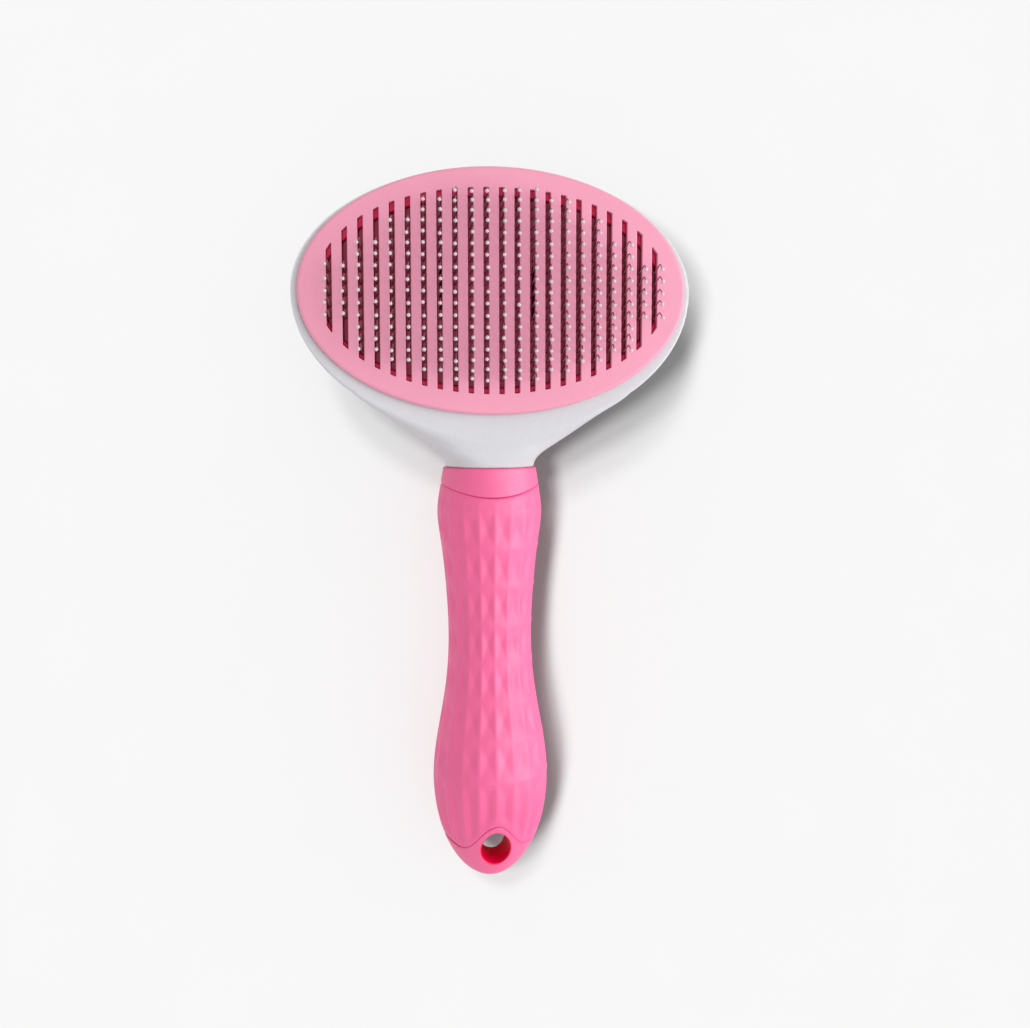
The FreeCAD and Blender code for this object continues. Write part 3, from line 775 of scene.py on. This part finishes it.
def flat_region(build, outer, holes, up):
    """Flat face inside one ring and outside others."""
    rings = [outer] + holes
    flat = np.concatenate(rings)
    edges, start = [], 0
    for ring in rings:
        edges += [(start + i, start + (i + 1) % len(ring)) for i in range(len(ring))]
        start += len(ring)
    found = delaunay_2d_cdt([Vector(p[:2]) for p in flat], edges, [], 0, 1e-6)
    spots, triangles, origin = found[0], found[2], found[3]
    assert len(spots) == len(flat)
    order = [o[0] for o in origin]
    kept = []
    for triangle in triangles:
        middle = sum((spots[i] for i in triangle), Vector((0, 0))) / 3
        if not within(middle, outer) or any(within(middle, hole) for hole in holes):
            continue
        face = [order[i] for i in triangle]
        kept.append(face if up else face[::-1])
    build.add(flat, kept)


def within(point, ring):
    """True if a point lies inside a convex ring."""
    a = ring[:, :2]
    b = np.roll(a, -1, axis=0)
    cross = (b[:, 0] - a[:, 0]) * (point[1] - a[:, 1]) - (b[:, 1] - a[:, 1]) * (point[0] - a[:, 0])
    return bool(np.all(cross > 0))


def welded(obj):
    """Join points that lie together and turn all faces outwards."""
    mesh = bmesh.new()
    mesh.from_mesh(obj.data)
    bmesh.ops.remove_doubles(mesh, verts=mesh.verts, dist=1e-7)
    bmesh.ops.recalc_face_normals(mesh, faces=mesh.faces)
    mesh.to_mesh(obj.data)
    mesh.free()
    return obj


def quarter(radius, count, start, end):
    """Steps round a quarter turn: (inset, drop)."""
    for t in np.linspace(start, end, count):
        yield radius * (1 - math.sin(t)), radius * (1 - math.cos(t))


def make_plate():
    build = Build()
    outer_round = 0.9
    outline = []
    for inset, drop in quarter(outer_round, 8, 0, math.pi / 2):
        outline.append(ellipse_ring(PLATE_A, PLATE_B, inset, PLATE_TOP - drop))
    for inset, lift in reversed(list(quarter(0.4, 4, 0, math.pi / 2))):
        outline.append(ellipse_ring(PLATE_A, PLATE_B, inset, PLATE_LOW + lift))
    skirt_a, skirt_b, wall = PLATE_A - 1.1, PLATE_B - 1.8, 1.3
    skirt = [
        (0, PLATE_LOW),
        (0, SKIRT_LOW + 0.3),
        (0.1, SKIRT_LOW + 0.08),
        (0.3, SKIRT_LOW),
        (wall - 0.3, SKIRT_LOW),
        (wall - 0.1, SKIRT_LOW + 0.08),
        (wall, SKIRT_LOW + 0.3),
        (wall, PLATE_LOW),
    ]
    outline += [ellipse_ring(skirt_a, skirt_b, inset, z) for inset, z in skirt]
    rings_mesh(build, outline)
    tops, bottoms = [], []
    slot_round = 0.22
    for i in range(SLOT_COUNT):
        x = SLOT_PITCH * (i - (SLOT_COUNT - 1) / 2)
        rings = []
        for inset, drop in quarter(slot_round, 5, 0, math.pi / 2):
            rings.append(slot_ring(x, inset, PLATE_TOP - drop))
        for inset, lift in reversed(list(quarter(0.15, 3, 0, math.pi / 2))):
            rings.append(slot_ring(x, inset, PLATE_LOW + lift))
        tops.append(rings[0])
        bottoms.append(rings[-1])
        rings_mesh(build, rings)
    flat_region(build, outline[0], tops, True)
    flat_region(build, outline[-1], bottoms, False)
    obj = welded(build.mesh("faceplate_slotted", PLATE_PINK))
    for polygon in obj.data.polygons:
        polygon.use_smooth = abs(polygon.normal.z) < 0.9999
    settle(obj, "ejector", "plate_pink", "faceplate")


make_plate()


# ---- tray and pad

PAD_TOP = PAD[1][2]
TRAY_LOW = PAD[0][2] - 2.0
LEGS = [(-12.15, 0.0), (12.15, 0.0)]
LEG_HALF = (1.3, 6.5)
LEG_GAP = 0.35
SPIGOT = 3.3  # radius of the pegs that hold the springs
RECESS_A = PAD[1][0] + 0.1
RECESS_B = (PAD[1][1] - PAD[0][1]) / 2 + 0.1


def leg_holes(p, low, high):
    """The two holes that the push frame's legs pass through."""
    half = (LEG_HALF[0] + LEG_GAP, LEG_HALF[1] + LEG_GAP, (high - low) / 2)
    holes = [box_field(p, (x, y, (low + high) / 2), half, 0.3) for x, y in LEGS]
    return np.minimum(*holes)


def screw_hole(p, x, y, low, face):
    """Bore with a countersink in the face above it."""
    bore = disc_field(p, x, y, SCREW_BORE, low, face + 3)
    cone = np.hypot(p[0] - x, p[1] - y) - SCREW_CONE + (face - p[2])
    return np.minimum(bore, cone)


def tray_field(p):
    x, y, z = p
    side = ellipse_field(x, y, TRAY[1][0], (TRAY[1][1] - TRAY[0][1]) / 2)
    slab = round_max(side, np.abs(z - (TRAY_LOW + TRAY[1][2]) / 2) - (TRAY[1][2] - TRAY_LOW) / 2, 0.6)
    recess = np.maximum(ellipse_field(x, y, RECESS_A, RECESS_B), PAD[0][2] - z)
    solid = round_max(slab, -recess, 0.5)
    for end in (-1, 1):
        peg = disc_field(p, 0, end * SPRING_Y, SPIGOT, TRAY[0][2], TRAY_LOW + 1, 0.4)
        solid = np.minimum(solid, peg)
    solid = np.maximum(solid, -leg_holes(p, TRAY_LOW - 3, PAD[0][2] + 3))
    for sx, sy in TRAY_SCREWS:
        solid = np.maximum(solid, -screw_hole(p, sx, sy, TRAY_LOW - 3, PAD[0][2]))
    return solid


def pad_field(p):
    x, y, z = p
    low, high = PAD[0][2], PAD_TOP
    slab = round_max(
        ellipse_field(x, y, PAD[1][0], (PAD[1][1] - PAD[0][1]) / 2),
        np.abs(z - (low + high) / 2) - (high - low) / 2,
        0.35,
    )
    return round_max(slab, -leg_holes(p, low - 3, high + 3), 0.2)


def make_tray():
    size = 0.62
    width = TRAY[1][0] + 1
    length = (TRAY[1][1] - TRAY[0][1]) / 2 + 1
    plan = (steps(-width, width, size), steps(-length, length, size))
    axes = (*plan, steps(TRAY[0][2] - 0.8, TRAY[1][2] + 0.8, 0.45))
    moulded("pin_tray_moulded", tray_field, axes, TRAY_RED, "brush", "tray_red", "pin_tray")
    axes = (*plan, steps(PAD[0][2] - 0.8, PAD_TOP + 0.8, 0.4))
    moulded("pin_pad_rubber", pad_field, axes, PAD_RUBBER, "brush", "pad_rubber", "pin_pad")


make_tray()


# ---- pins

# first and last row of each column, in rows forward of the middle
SIDE_COLUMNS = [(-2.5, 1.5), (-5.5, 3.5), (-6.5, 5.5), (-7.5, 7.5), (-8.5, 8.5)]
COLUMN_ROWS = SIDE_COLUMNS + [(-8.5, 8.5)] + SIDE_COLUMNS[::-1]
BUNCHING = 0.74  # radians: rows draw together towards the ends
OUTER_ROW = 8.5
LEAN = 1.65
WIRE = 0.165
TIP = 0.55
TIP_SHIFT = -0.4
BEND_ABOVE_PLATE = 6.1


def make_pins():
    rng = np.random.default_rng(SEED)
    middle = node_box("tip_row_06")
    tip_z = middle[1][2] - TIP
    span = (middle[1][1] - middle[0][1]) / 2 - TIP
    shift = (middle[1][1] + middle[0][1]) / 2 - HEAD_Y
    foot_z = node_box("staple_row_06")[0][2] + 0.19
    for column, (first, last) in enumerate(COLUMN_ROWS, start=1):
        number = "%02d" % column
        low, high = node_box("tip_row_" + number)
        centre = (low[0] + high[0]) / 2
        wires, tips = Build(), Build()
        for k in np.arange(first, last + 0.5):
            y = shift + span * math.sin(BUNCHING * k / OUTER_ROW) / math.sin(BUNCHING)
            path = []
            for side in (-1, 1):
                x = centre + side * SLOT_PITCH / 2
                lean = LEAN + rng.normal(0, 0.12)
                tip_x = x + TIP_SHIFT + side * 0.15 + rng.normal(0, 0.1)
                tip = np.array([tip_x, y + rng.normal(0, 0.16), tip_z])
                tip[2] -= abs(rng.normal(0, 0.08))
                leg = [
                    (x, y, foot_z),
                    (x, y, PLATE_TOP - 1),
                    (x + side * 0.05, y + lean, PLATE_TOP + BEND_ABOVE_PLATE + rng.normal(0, 0.12)),
                    tip,
                ]
                path = path + leg[::-1] if side < 0 else path + leg
                ball(tips, tip, TIP * rng.uniform(0.86, 0.97), rng.uniform(1.02, 1.2))
            rings_mesh(wires, tube_rings(fillet(path, 0.9), WIRE), caps=True)
        obj = wires.mesh("wires_" + number, PIN_WIRE_PAINTED_REFLECTION)
        settle(obj, "brush", "pin_wire", "staple_row_" + number)
        obj = tips.mesh("tips_" + number, TIP_WHITE)
        settle(obj, "brush", "tip_white", "tip_row_" + number)


make_pins()


# ---- handle

BULGE_Y = 132.5
BULGE = 16.1
TAIL_LENGTH = TAIL - BULGE_Y
STATIONS = [
    # behind the head's centre: half width and half depth
    (45.0, 12.75, 12.4),
    (46.3, 12.85, 12.5),
    (49.0, 13.25, 12.75),
    (52.0, 13.75, 13.2),
    (57.6, 14.5, 13.9),
    (66.0, 13.7, 13.3),
    (80.0, 12.2, 12.0),
    (93.5, 11.62, 11.5),
    (106.0, 12.4, 12.3),
    (117.0, 14.2, 14.0),
    (126.0, 15.65, 15.3),
    (BULGE_Y, BULGE, BULGE),
]
TAIL_FLATTENING = 1.3
TAIL_TURNS = (8, 16, 24, 31, 38, 44, 50, 56, 62, 67, 72, 76, 80, 83)


def tail_station(turn):
    """Station on the tail's round end, flattened from above and below."""
    across = BULGE * math.cos(turn)
    return (
        BULGE_Y + TAIL_LENGTH * math.sin(turn),
        across,
        across * (1 - TAIL_FLATTENING * math.cos(turn) * (1 - math.cos(turn))),
    )


stations = STATIONS + [tail_station(math.radians(a)) for a in TAIL_TURNS]
half_width = curve_of(stations)
half_depth = curve_of(stations, 2)
GRIP_WALL = 3.0
SEAM_EDGE = 0.45  # rounding of the core's edges along both seams
COLLAR_DIP = 54.2
COLLAR_CURVE = 29.0
end_seam = spline(  # where the grip ends, behind the head's centre, from left to right
    [-17, -13.0, -7.4, -3.2, 0.3, 4.2, 7.9, 13.0, 17],
    [148.9, 149.6, 151.9, 147.0, 144.5, 146.6, 151.2, 150.2, 149.4],
)


def collar_seam(x):
    """Where the collar ends, behind the head's centre."""
    return COLLAR_DIP - COLLAR_CURVE + np.sqrt(COLLAR_CURVE**2 - np.clip(x, -20, 20) ** 2)


def seam_behind(curve, turn, guess):
    """Where a seam given as a curve of x lies on the handle's surface at each angle round it."""
    behind = np.full(turn.shape, guess)
    for _ in range(12):
        behind = 0.5 * (behind + curve(half_width(behind) * np.sin(turn)))
    return behind


def form_field(p):
    """Outer form of the handle."""
    x, y, z = p
    behind = -y
    turn = np.arcsin(np.clip((behind - BULGE_Y) / TAIL_LENGTH, 0, 0.992))
    wide = half_width(np.minimum(behind, TAIL - 0.4))
    deep = half_depth(np.minimum(behind, TAIL - 0.4))
    side = ellipse_field(x, z - AXIS_Z, np.maximum(wide, 0.4), np.maximum(deep, 0.4))
    side = side * (1 - 0.55 * np.sin(turn) ** 4)
    return round_max(side, behind - TAIL, 0.8)


def core_field(p):
    """Collar, inner core, tenon and the end with the hanging hole, which opens into long mouths."""
    x, y, z = p
    behind = -y
    form = form_field(p)
    collar = round_max(form, np.maximum(behind - collar_seam(x), NECK - behind), SEAM_EDGE)
    cap = round_max(form, end_seam(x) - behind, SEAM_EDGE)
    inner = np.maximum(form + GRIP_WALL, np.maximum(NECK + 1 - behind, behind - 151))
    tenon = np.maximum(np.hypot(x, z - AXIS_Z) - TENON, np.maximum(NECK - 11 - behind, behind - NECK - 4))
    solid = np.minimum(np.minimum(collar, cap), np.minimum(inner, tenon))
    mouth = smooth_step(2.0, 10.0, np.abs(z - AXIS_Z))
    drop = 0.35 * smooth_step(2.0, 10.0, z - AXIS_Z)
    long = HOLE_RADIUS + 1.75 * mouth + drop
    hole = ellipse_field(x - HOLE_X, y - HOLE_Y + drop, HOLE_RADIUS, long)
    solid = round_max(solid, -hole, 0.45)
    bore = disc_field(p, 0, NECK_SCREW_Y, SCREW_BORE, 0, 17)
    return np.maximum(solid, -bore)


def make_core():
    fine = 0.42
    along = np.concatenate(
        [
            steps(-TAIL - 1, -144, fine),
            steps(-144, -58, 1.6)[1:-1],
            steps(-58, -45, fine),
            steps(-45, -34, 0.6)[1:],
        ]
    )
    axes = (steps(-BULGE - 1, BULGE + 1, fine), along, steps(AXIS_Z - 16.6, AXIS_Z + 16.6, fine))
    moulded("handle_core_moulded", core_field, axes, CORE_PINK, "brush", "core_pink", "handle_core")


make_core()

FACET_COLUMNS = 20
FACET_ROW = 10.5
FACET_FIRST = 62.7
FACET_DEPTH = 0.8
FACET_TURN = math.radians(1.5)
FACET_SOFTNESS = 0.05
# depth below the skin and distance from the seam
GRIP_LIP = [(GRIP_WALL, 0.0), (0.5, 0.0), (0.2, 0.1), (0.06, 0.3)]


def facet_depth(turn, behind, from_end):
    """How far the grip's surface is sunk: hollow pyramids that fade to flutes and then to nothing."""
    column = (turn - FACET_TURN) / (2 * math.pi) * FACET_COLUMNS
    u = np.abs(2 * (column - np.floor(column)) - 1)
    row = (behind - FACET_FIRST) / FACET_ROW + 0.5
    v = np.abs(2 * (row - np.floor(row)) - 1)
    v = v * smooth_step(52, 59, behind) * smooth_step(139, 131, behind)
    steepest = 0.5 * (u + v + np.sqrt((u - v) ** 2 + FACET_SOFTNESS**2))
    return FACET_DEPTH * np.clip(1 - steepest, -0.1, 1) * smooth_step(0.5, 4.5, from_end)


def make_grip():
    """Sleeve whose rings follow both seams and whose columns follow the facets."""
    per_column = 8
    count = FACET_COLUMNS * per_column
    turn = np.arange(count) * 2 * math.pi / count + FACET_TURN
    build = Build()
    lines = []
    seam_gap = 0.05
    lip_end = 0.75
    start, end = 58.0, 139.0
    head_rows = np.linspace(0, 1, 9)
    tail_rows = np.linspace(0, 1, 14)
    straight = np.arange(start, end + 0.01, FACET_ROW / 14)

    def point(behind, sink):
        behind = np.broadcast_to(behind, turn.shape)
        wide, deep = half_width(behind), half_depth(behind)
        nx, nz = np.sin(turn) / wide, np.cos(turn) / deep
        size = np.hypot(nx, nz)
        x = wide * np.sin(turn) - sink * nx / size
        z = deep * np.cos(turn) - sink * nz / size
        return np.column_stack([x, -behind, z + AXIS_Z])

    first = seam_behind(collar_seam, turn, 52.0) + seam_gap
    last = seam_behind(end_seam, turn, 149.0) - seam_gap
    for depth, away in GRIP_LIP:
        lines.append((first + away, depth))
    for t in head_rows:
        lines.append(((first + lip_end) * (1 - t) + start * t, 0.0))
    for y in straight[1:]:
        lines.append((np.full(count, y), 0.0))
    for t in tail_rows[1:]:
        lines.append(((last - lip_end) * t + straight[-1] * (1 - t), 0.0))
    for depth, away in reversed(GRIP_LIP):
        lines.append((last - away, depth))
    rings = []
    for behind, sink in lines:
        from_end = np.minimum(behind - first, last - behind)
        rings.append(point(behind, sink + facet_depth(turn, behind, from_end)))
    for t in np.linspace(1, 0, 30)[1:-1]:
        behind = last * t + first * (1 - t)
        rings.append(point(behind, GRIP_WALL + 0.02))
    rings_mesh(build, rings, loop=True)
    obj = welded(build.mesh("grip_faceted", GRIP_PINK))
    settle(obj, "brush", "grip_pink", "grip_sleeve")


make_grip()


# ---- push button, bezel and frame


def make_button():
    build = Build()
    radius, flange = 17.0, BUTTON[1][0]
    flange_low, top = 9.8, BUTTON[1][2]
    outside = [(0.0, 0.0)]
    for ring in (4.0, 6.2, 8.4, 10.6, 12.8):
        outside += [(ring - 0.35, 0.0), (ring, 0.28), (ring + 0.35, 0.0)]
    face = [tuple(p) for p in fillet(outside, 0.16, 4)]
    edge = [(15.4 - 0.6, 0.0)] + [
        (15.4 + 1.6 * math.sin(t), 1.6 * (1 - math.cos(t))) for t in np.linspace(0.1, math.pi / 2, 9)
    ]
    rest = [
        (radius, flange_low),
        (flange, flange_low),
        (flange, top),
        (15.0, top),
        (15.0, 2.2),
        (0.0, 2.2),
    ]
    profile = face + edge + [tuple(p) for p in fillet([edge[-1]] + rest, 0.3, 4)][1:]
    lathe(build, profile, 0, 0, 144)
    for end in (-1, 1):
        spigot = [(0.0, 2.0), (SPIGOT, 2.0), (SPIGOT, 4.4), (0.0, 4.4)]
        lathe(build, fillet(spigot, 0.3), 0, end * SPRING_Y, 40)
        boss = [(SCREW_BORE, 3.0), (2.0, 2.0), (2.0, top), (SCREW_BORE, top)]
        lathe(build, boss, end * BUTTON_SCREW_X, 0, 32)
    obj = welded(build.mesh("thumb_button_cap", BUTTON_PINK))
    settle(obj, "ejector", "button_pink", "thumb_button")


def make_bezel():
    build = Build()
    outer, low, high = BEZEL[1][0], BEZEL[0][2], BEZEL[1][2]
    profile = [
        (BEZEL_BORE, low + 0.5),
        (17.8, low),
        (19.4, low),
        (19.7, low + 0.25),
        (20.0, low),
        (outer - 0.5, low),
        (outer, low + 0.6),
        (outer, BACK_Z),
        (19.0, BACK_Z),
        (19.0, high),
        (BEZEL_BORE, high),
        (BEZEL_BORE, low + 0.5),
    ]
    lathe(build, fillet(profile, 0.25, 4)[:-1], 0, 0, 144)
    obj = welded(build.mesh("button_bezel_ring", SHELL_WHITE))
    settle(obj, "brush", "shell_white", "button_bezel")


DISC = 2.0  # thickness of the push frame's disc


def push_field(p):
    """Disc with two legs that reach up to the faceplate."""
    low = PUSH[0][2]
    solid = disc_field(p, 0, 0, PUSH[1][0], low, low + DISC, 0.4)
    for x, y in LEGS:
        middle = (low + PUSH[1][2]) / 2
        half = (LEG_HALF[0], LEG_HALF[1], (PUSH[1][2] - low) / 2)
        solid = round_min(solid, box_field(p, (x, y, middle), half, 0.35), 0.5)
    for end in (-1, 1):
        solid = round_max(solid, -disc_field(p, 0, end * SPRING_Y, SPRING_HOLE, low - 1, low + 4), 0.3)
        solid = np.maximum(solid, -screw_hole(p, end * BUTTON_SCREW_X, 0, low - 1, low + DISC))
    return solid


def make_push_frame():
    radius = PUSH[1][0] + 0.8
    size = 0.42
    across = steps(-radius, radius, size)
    axes = (across, across, steps(PUSH[0][2] - 0.6, PUSH[1][2] + 0.6, size))
    moulded("push_frame_moulded", push_field, axes, TRAY_RED, "ejector", "tray_red", "push_frame")


def make_springs():
    for end, (low, high) in SPRINGS.items():
        build = Build()
        wire = 0.45
        middle = (low + high) / 2
        radius = (high[0] - low[0]) / 2 - wire
        turns = 8
        t = np.linspace(0, 1, turns * 36 + 1)
        dead = 0.9 / turns
        rise = np.interp(t, [0, dead, 1 - dead, 1], [0, 0.045, 0.955, 1])
        x = radius * np.cos(2 * math.pi * turns * t)
        y = radius * np.sin(2 * math.pi * turns * t) + middle[1] - HEAD_Y
        z = low[2] + wire + 0.02 + rise * (high[2] - low[2] - 2 * wire - 0.04)
        rings_mesh(build, tube_rings(np.column_stack([x, y, z]), wire, 12), caps=True)
        obj = build.mesh("return_spring_coil_" + end, SPRING_STEEL)
        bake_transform(obj)
        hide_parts("return_spring_" + end)


make_button()
make_bezel()
make_push_frame()
make_springs()


# ---- screws


COUNTERSUNK = {"head": 2.28, "head_height": 1.08, "flat_top": True, "length": 9.0, "recess": (0.25, 1.25)}
PAN_HEAD = {"head": 2.78, "head_height": 1.8, "flat_top": False, "length": 10.8, "recess": (0.36, 1.6)}
SEATED = 0.02  # how far a screw's head lies below its face


def screw_points(size, head, head_height, flat_top, length, recess):
    """Screw that points down from z = 0, with a thread and a cross recess."""

    def field(p):
        x, y, z = p
        r = np.hypot(x, y)
        turn = np.arctan2(y, x) / (2 * math.pi)
        pitch = 0.9
        wave = np.abs(2 * ((z / pitch - turn) % 1) - 1)
        thread = np.where(z < -head_height - 0.3, 0.22 * wave, 0.0)
        shank = np.maximum(r - 1.2 + thread, -length - z)
        shank = np.maximum(np.maximum(shank, r - (z + length) * 0.7 - 0.3), z + head_height * 0.5)
        if flat_top:
            cap = np.maximum(r - head - np.minimum(z, 0), np.maximum(z, -head_height - z))
        else:
            cap = round_max(r - head, np.maximum(z, -head_height - z), 0.5)
        solid = np.minimum(shank, cap)
        wide, long = recess
        cross = np.minimum(
            np.maximum(np.abs(x) - long, np.abs(y) - wide), np.maximum(np.abs(y) - long, np.abs(x) - wide)
        )
        cross = np.maximum(np.maximum(cross, r - long * (1 + z * 0.35)), -1.0 - z)
        return round_max(solid, -cross, 0.08)

    axes = (
        steps(-head - 0.3, head + 0.3, size),
        steps(-head - 0.3, head + 0.3, size),
        steps(-length - 0.3, 0.3, size),
    )
    return surface_of(field, axes, smooth=2)


def make_screws():
    size = 0.2
    points, faces, normals = screw_points(size, **COUNTERSUNK)

    def several(name, spots, body, node):
        all_points = np.concatenate([points + spot for spot in spots])
        all_faces = np.concatenate([faces + i * len(points) for i in range(len(spots))])
        all_normals = np.concatenate([normals] * len(spots))
        obj = make_mesh(name, all_points, all_faces, SCREW_STEEL, all_normals)
        settle(obj, body, "screw_steel", node)

    spots = [(x, y, PAD[0][2] - SEATED) for x, y in TRAY_SCREWS]
    several("tray_screws_cross", spots, "brush", "tray_screws")
    spots = [(x, 0, PUSH[0][2] + DISC - SEATED) for x in (-BUTTON_SCREW_X, BUTTON_SCREW_X)]
    several("button_screws_cross", spots, "ejector", "button_screws")
    neck = node_box("neck_screw")
    points, faces, normals = screw_points(size, **PAN_HEAD)
    turned = points * (1, -1, -1) + (0, NECK_SCREW_Y, neck[0][2])
    obj = make_mesh("neck_screw_cross", turned, faces, SCREW_STEEL, normals * (1, -1, -1))
    settle(obj, "brush", "screw_steel", "neck_screw")


make_screws()


# ---- floor, light and camera


FLOOR_SUNS = [
    # name, slopes across and along the floor, energy
    ("floor_key_high", 0.43, 0, 3.0),
    ("floor_key_middle", 0.37, -0.3, 2.5),
    ("floor_key_low", 0.31, -0.62, 1.6),
]
CAMERA_TURNS = (4.856, 6.213, -0.083)  # pitch, roll and yaw in degrees
CAMERA_OFFSET = (-5.437, -57.976, 302.614)  # faceplate's centre as the camera sees it
CAMERA_LENS = 40.64


def make_floor():
    size = 3.0
    mesh = bpy.data.meshes.new("floor")
    corners = [(-size, -size, 0), (size, -size, 0), (size, size, 0), (-size, size, 0)]
    mesh.from_pydata(corners, [], [(0, 1, 2, 3)])
    n = Nodes("floor_paper")
    tone = n.ramp(n.noise(40, 2), 0.3, 0.7, (0.334, 0.334, 0.334, 1), (0.336, 0.336, 0.336, 1))
    n.link(tone, n.surface.inputs["Base Color"])
    fill(n.surface, {"Roughness": 0.9, "Specular IOR Level": 0.1})
    mesh.materials.append(n.material)
    floor = new_object("floor", mesh)
    floor.location.z = -0.0002
    floor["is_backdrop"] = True
    return floor


def shine(name, kind, towards, receivers, **settings):
    """Light along `towards` that reaches only the receivers."""
    light = bpy.data.lights.new(name, kind)
    for key, value in settings.items():
        setattr(light, key, value)
    obj = new_object(name, light)
    obj.rotation_euler = Vector(towards).to_track_quat("-Z", "Y").to_euler()
    obj.light_linking.receiver_collection = receivers
    return obj


def make_light(floor):
    world = bpy.data.worlds.new("studio")
    world.use_nodes = True
    background = world.node_tree.nodes["Background"]
    fill(background, {"Color": (1, 1, 1, 1), "Strength": 0.78})
    bpy.context.scene.world = world
    ground = bpy.data.collections.new("ground")
    ground.objects.link(floor)
    brush = bpy.data.collections.new("brush")
    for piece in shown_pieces():
        brush.objects.link(piece)
    for name, across, along, energy in FLOOR_SUNS:
        shine(name, "SUN", (across, along, -1), ground, energy=energy, angle=math.radians(10))
    shine("brush_key", "SUN", (-0.5, 0.05, -1), brush, energy=0.5, angle=math.radians(50))
    rim = bpy.data.collections.new("rim")
    rim.objects.link(bpy.data.objects["head_shell_body"])
    shine("shell_rim", "SUN", (0.75, -0.6, -0.25), rim, energy=1.0, angle=math.radians(30))
    inside = bpy.data.collections.new("inside")
    for name in ("pin_tray_moulded", "pin_pad_rubber"):
        inside.objects.link(bpy.data.objects[name])
    shine("slot_light", "SUN", (0.09, 0.1, -1), inside, energy=1.2, angle=math.radians(6))
    side = shine(
        "right_box", "AREA", (-0.62, 0, -0.35), brush, shape="RECTANGLE", size=0.6, size_y=0.8, energy=4.0
    )
    side.location = (0.62, 0, 0.37)


def make_camera():
    pitch, roll, yaw = (math.radians(a) for a in CAMERA_TURNS)
    cp, sp = math.cos(pitch), math.sin(pitch)
    cr, sr = math.cos(roll), math.sin(roll)
    cy, sy = math.cos(yaw), math.sin(yaw)
    look = (
        Matrix(((cy, -sy, 0), (sy, cy, 0), (0, 0, 1)))
        @ Matrix(((1, 0, 0), (0, cp, -sp), (0, sp, cp)))
        @ Matrix(((cr, 0, -sr), (0, 1, 0), (sr, 0, cr)))
        @ Matrix(((1, 0, 0), (0, -1, 0), (0, 0, -1)))
    )
    spot = Vector((0, HEAD_Y, PLATE_TOP)) - look.transposed() @ Vector(CAMERA_OFFSET)
    camera = bpy.data.cameras.new("camera")
    camera.sensor_width = 36.0
    camera.lens = CAMERA_LENS
    camera.clip_start = 0.01
    obj = new_object("camera", camera)
    facing = Matrix((look[0], -look[1], -look[2])).transposed()
    obj.matrix_world = Matrix.Translation(spot * MM) @ facing.to_4x4()
    bpy.context.scene.camera = obj


make_light(make_floor())
make_camera()
view_settings = bpy.context.scene.view_settings
view_settings.view_transform = "Standard"
view_settings.look = "None"
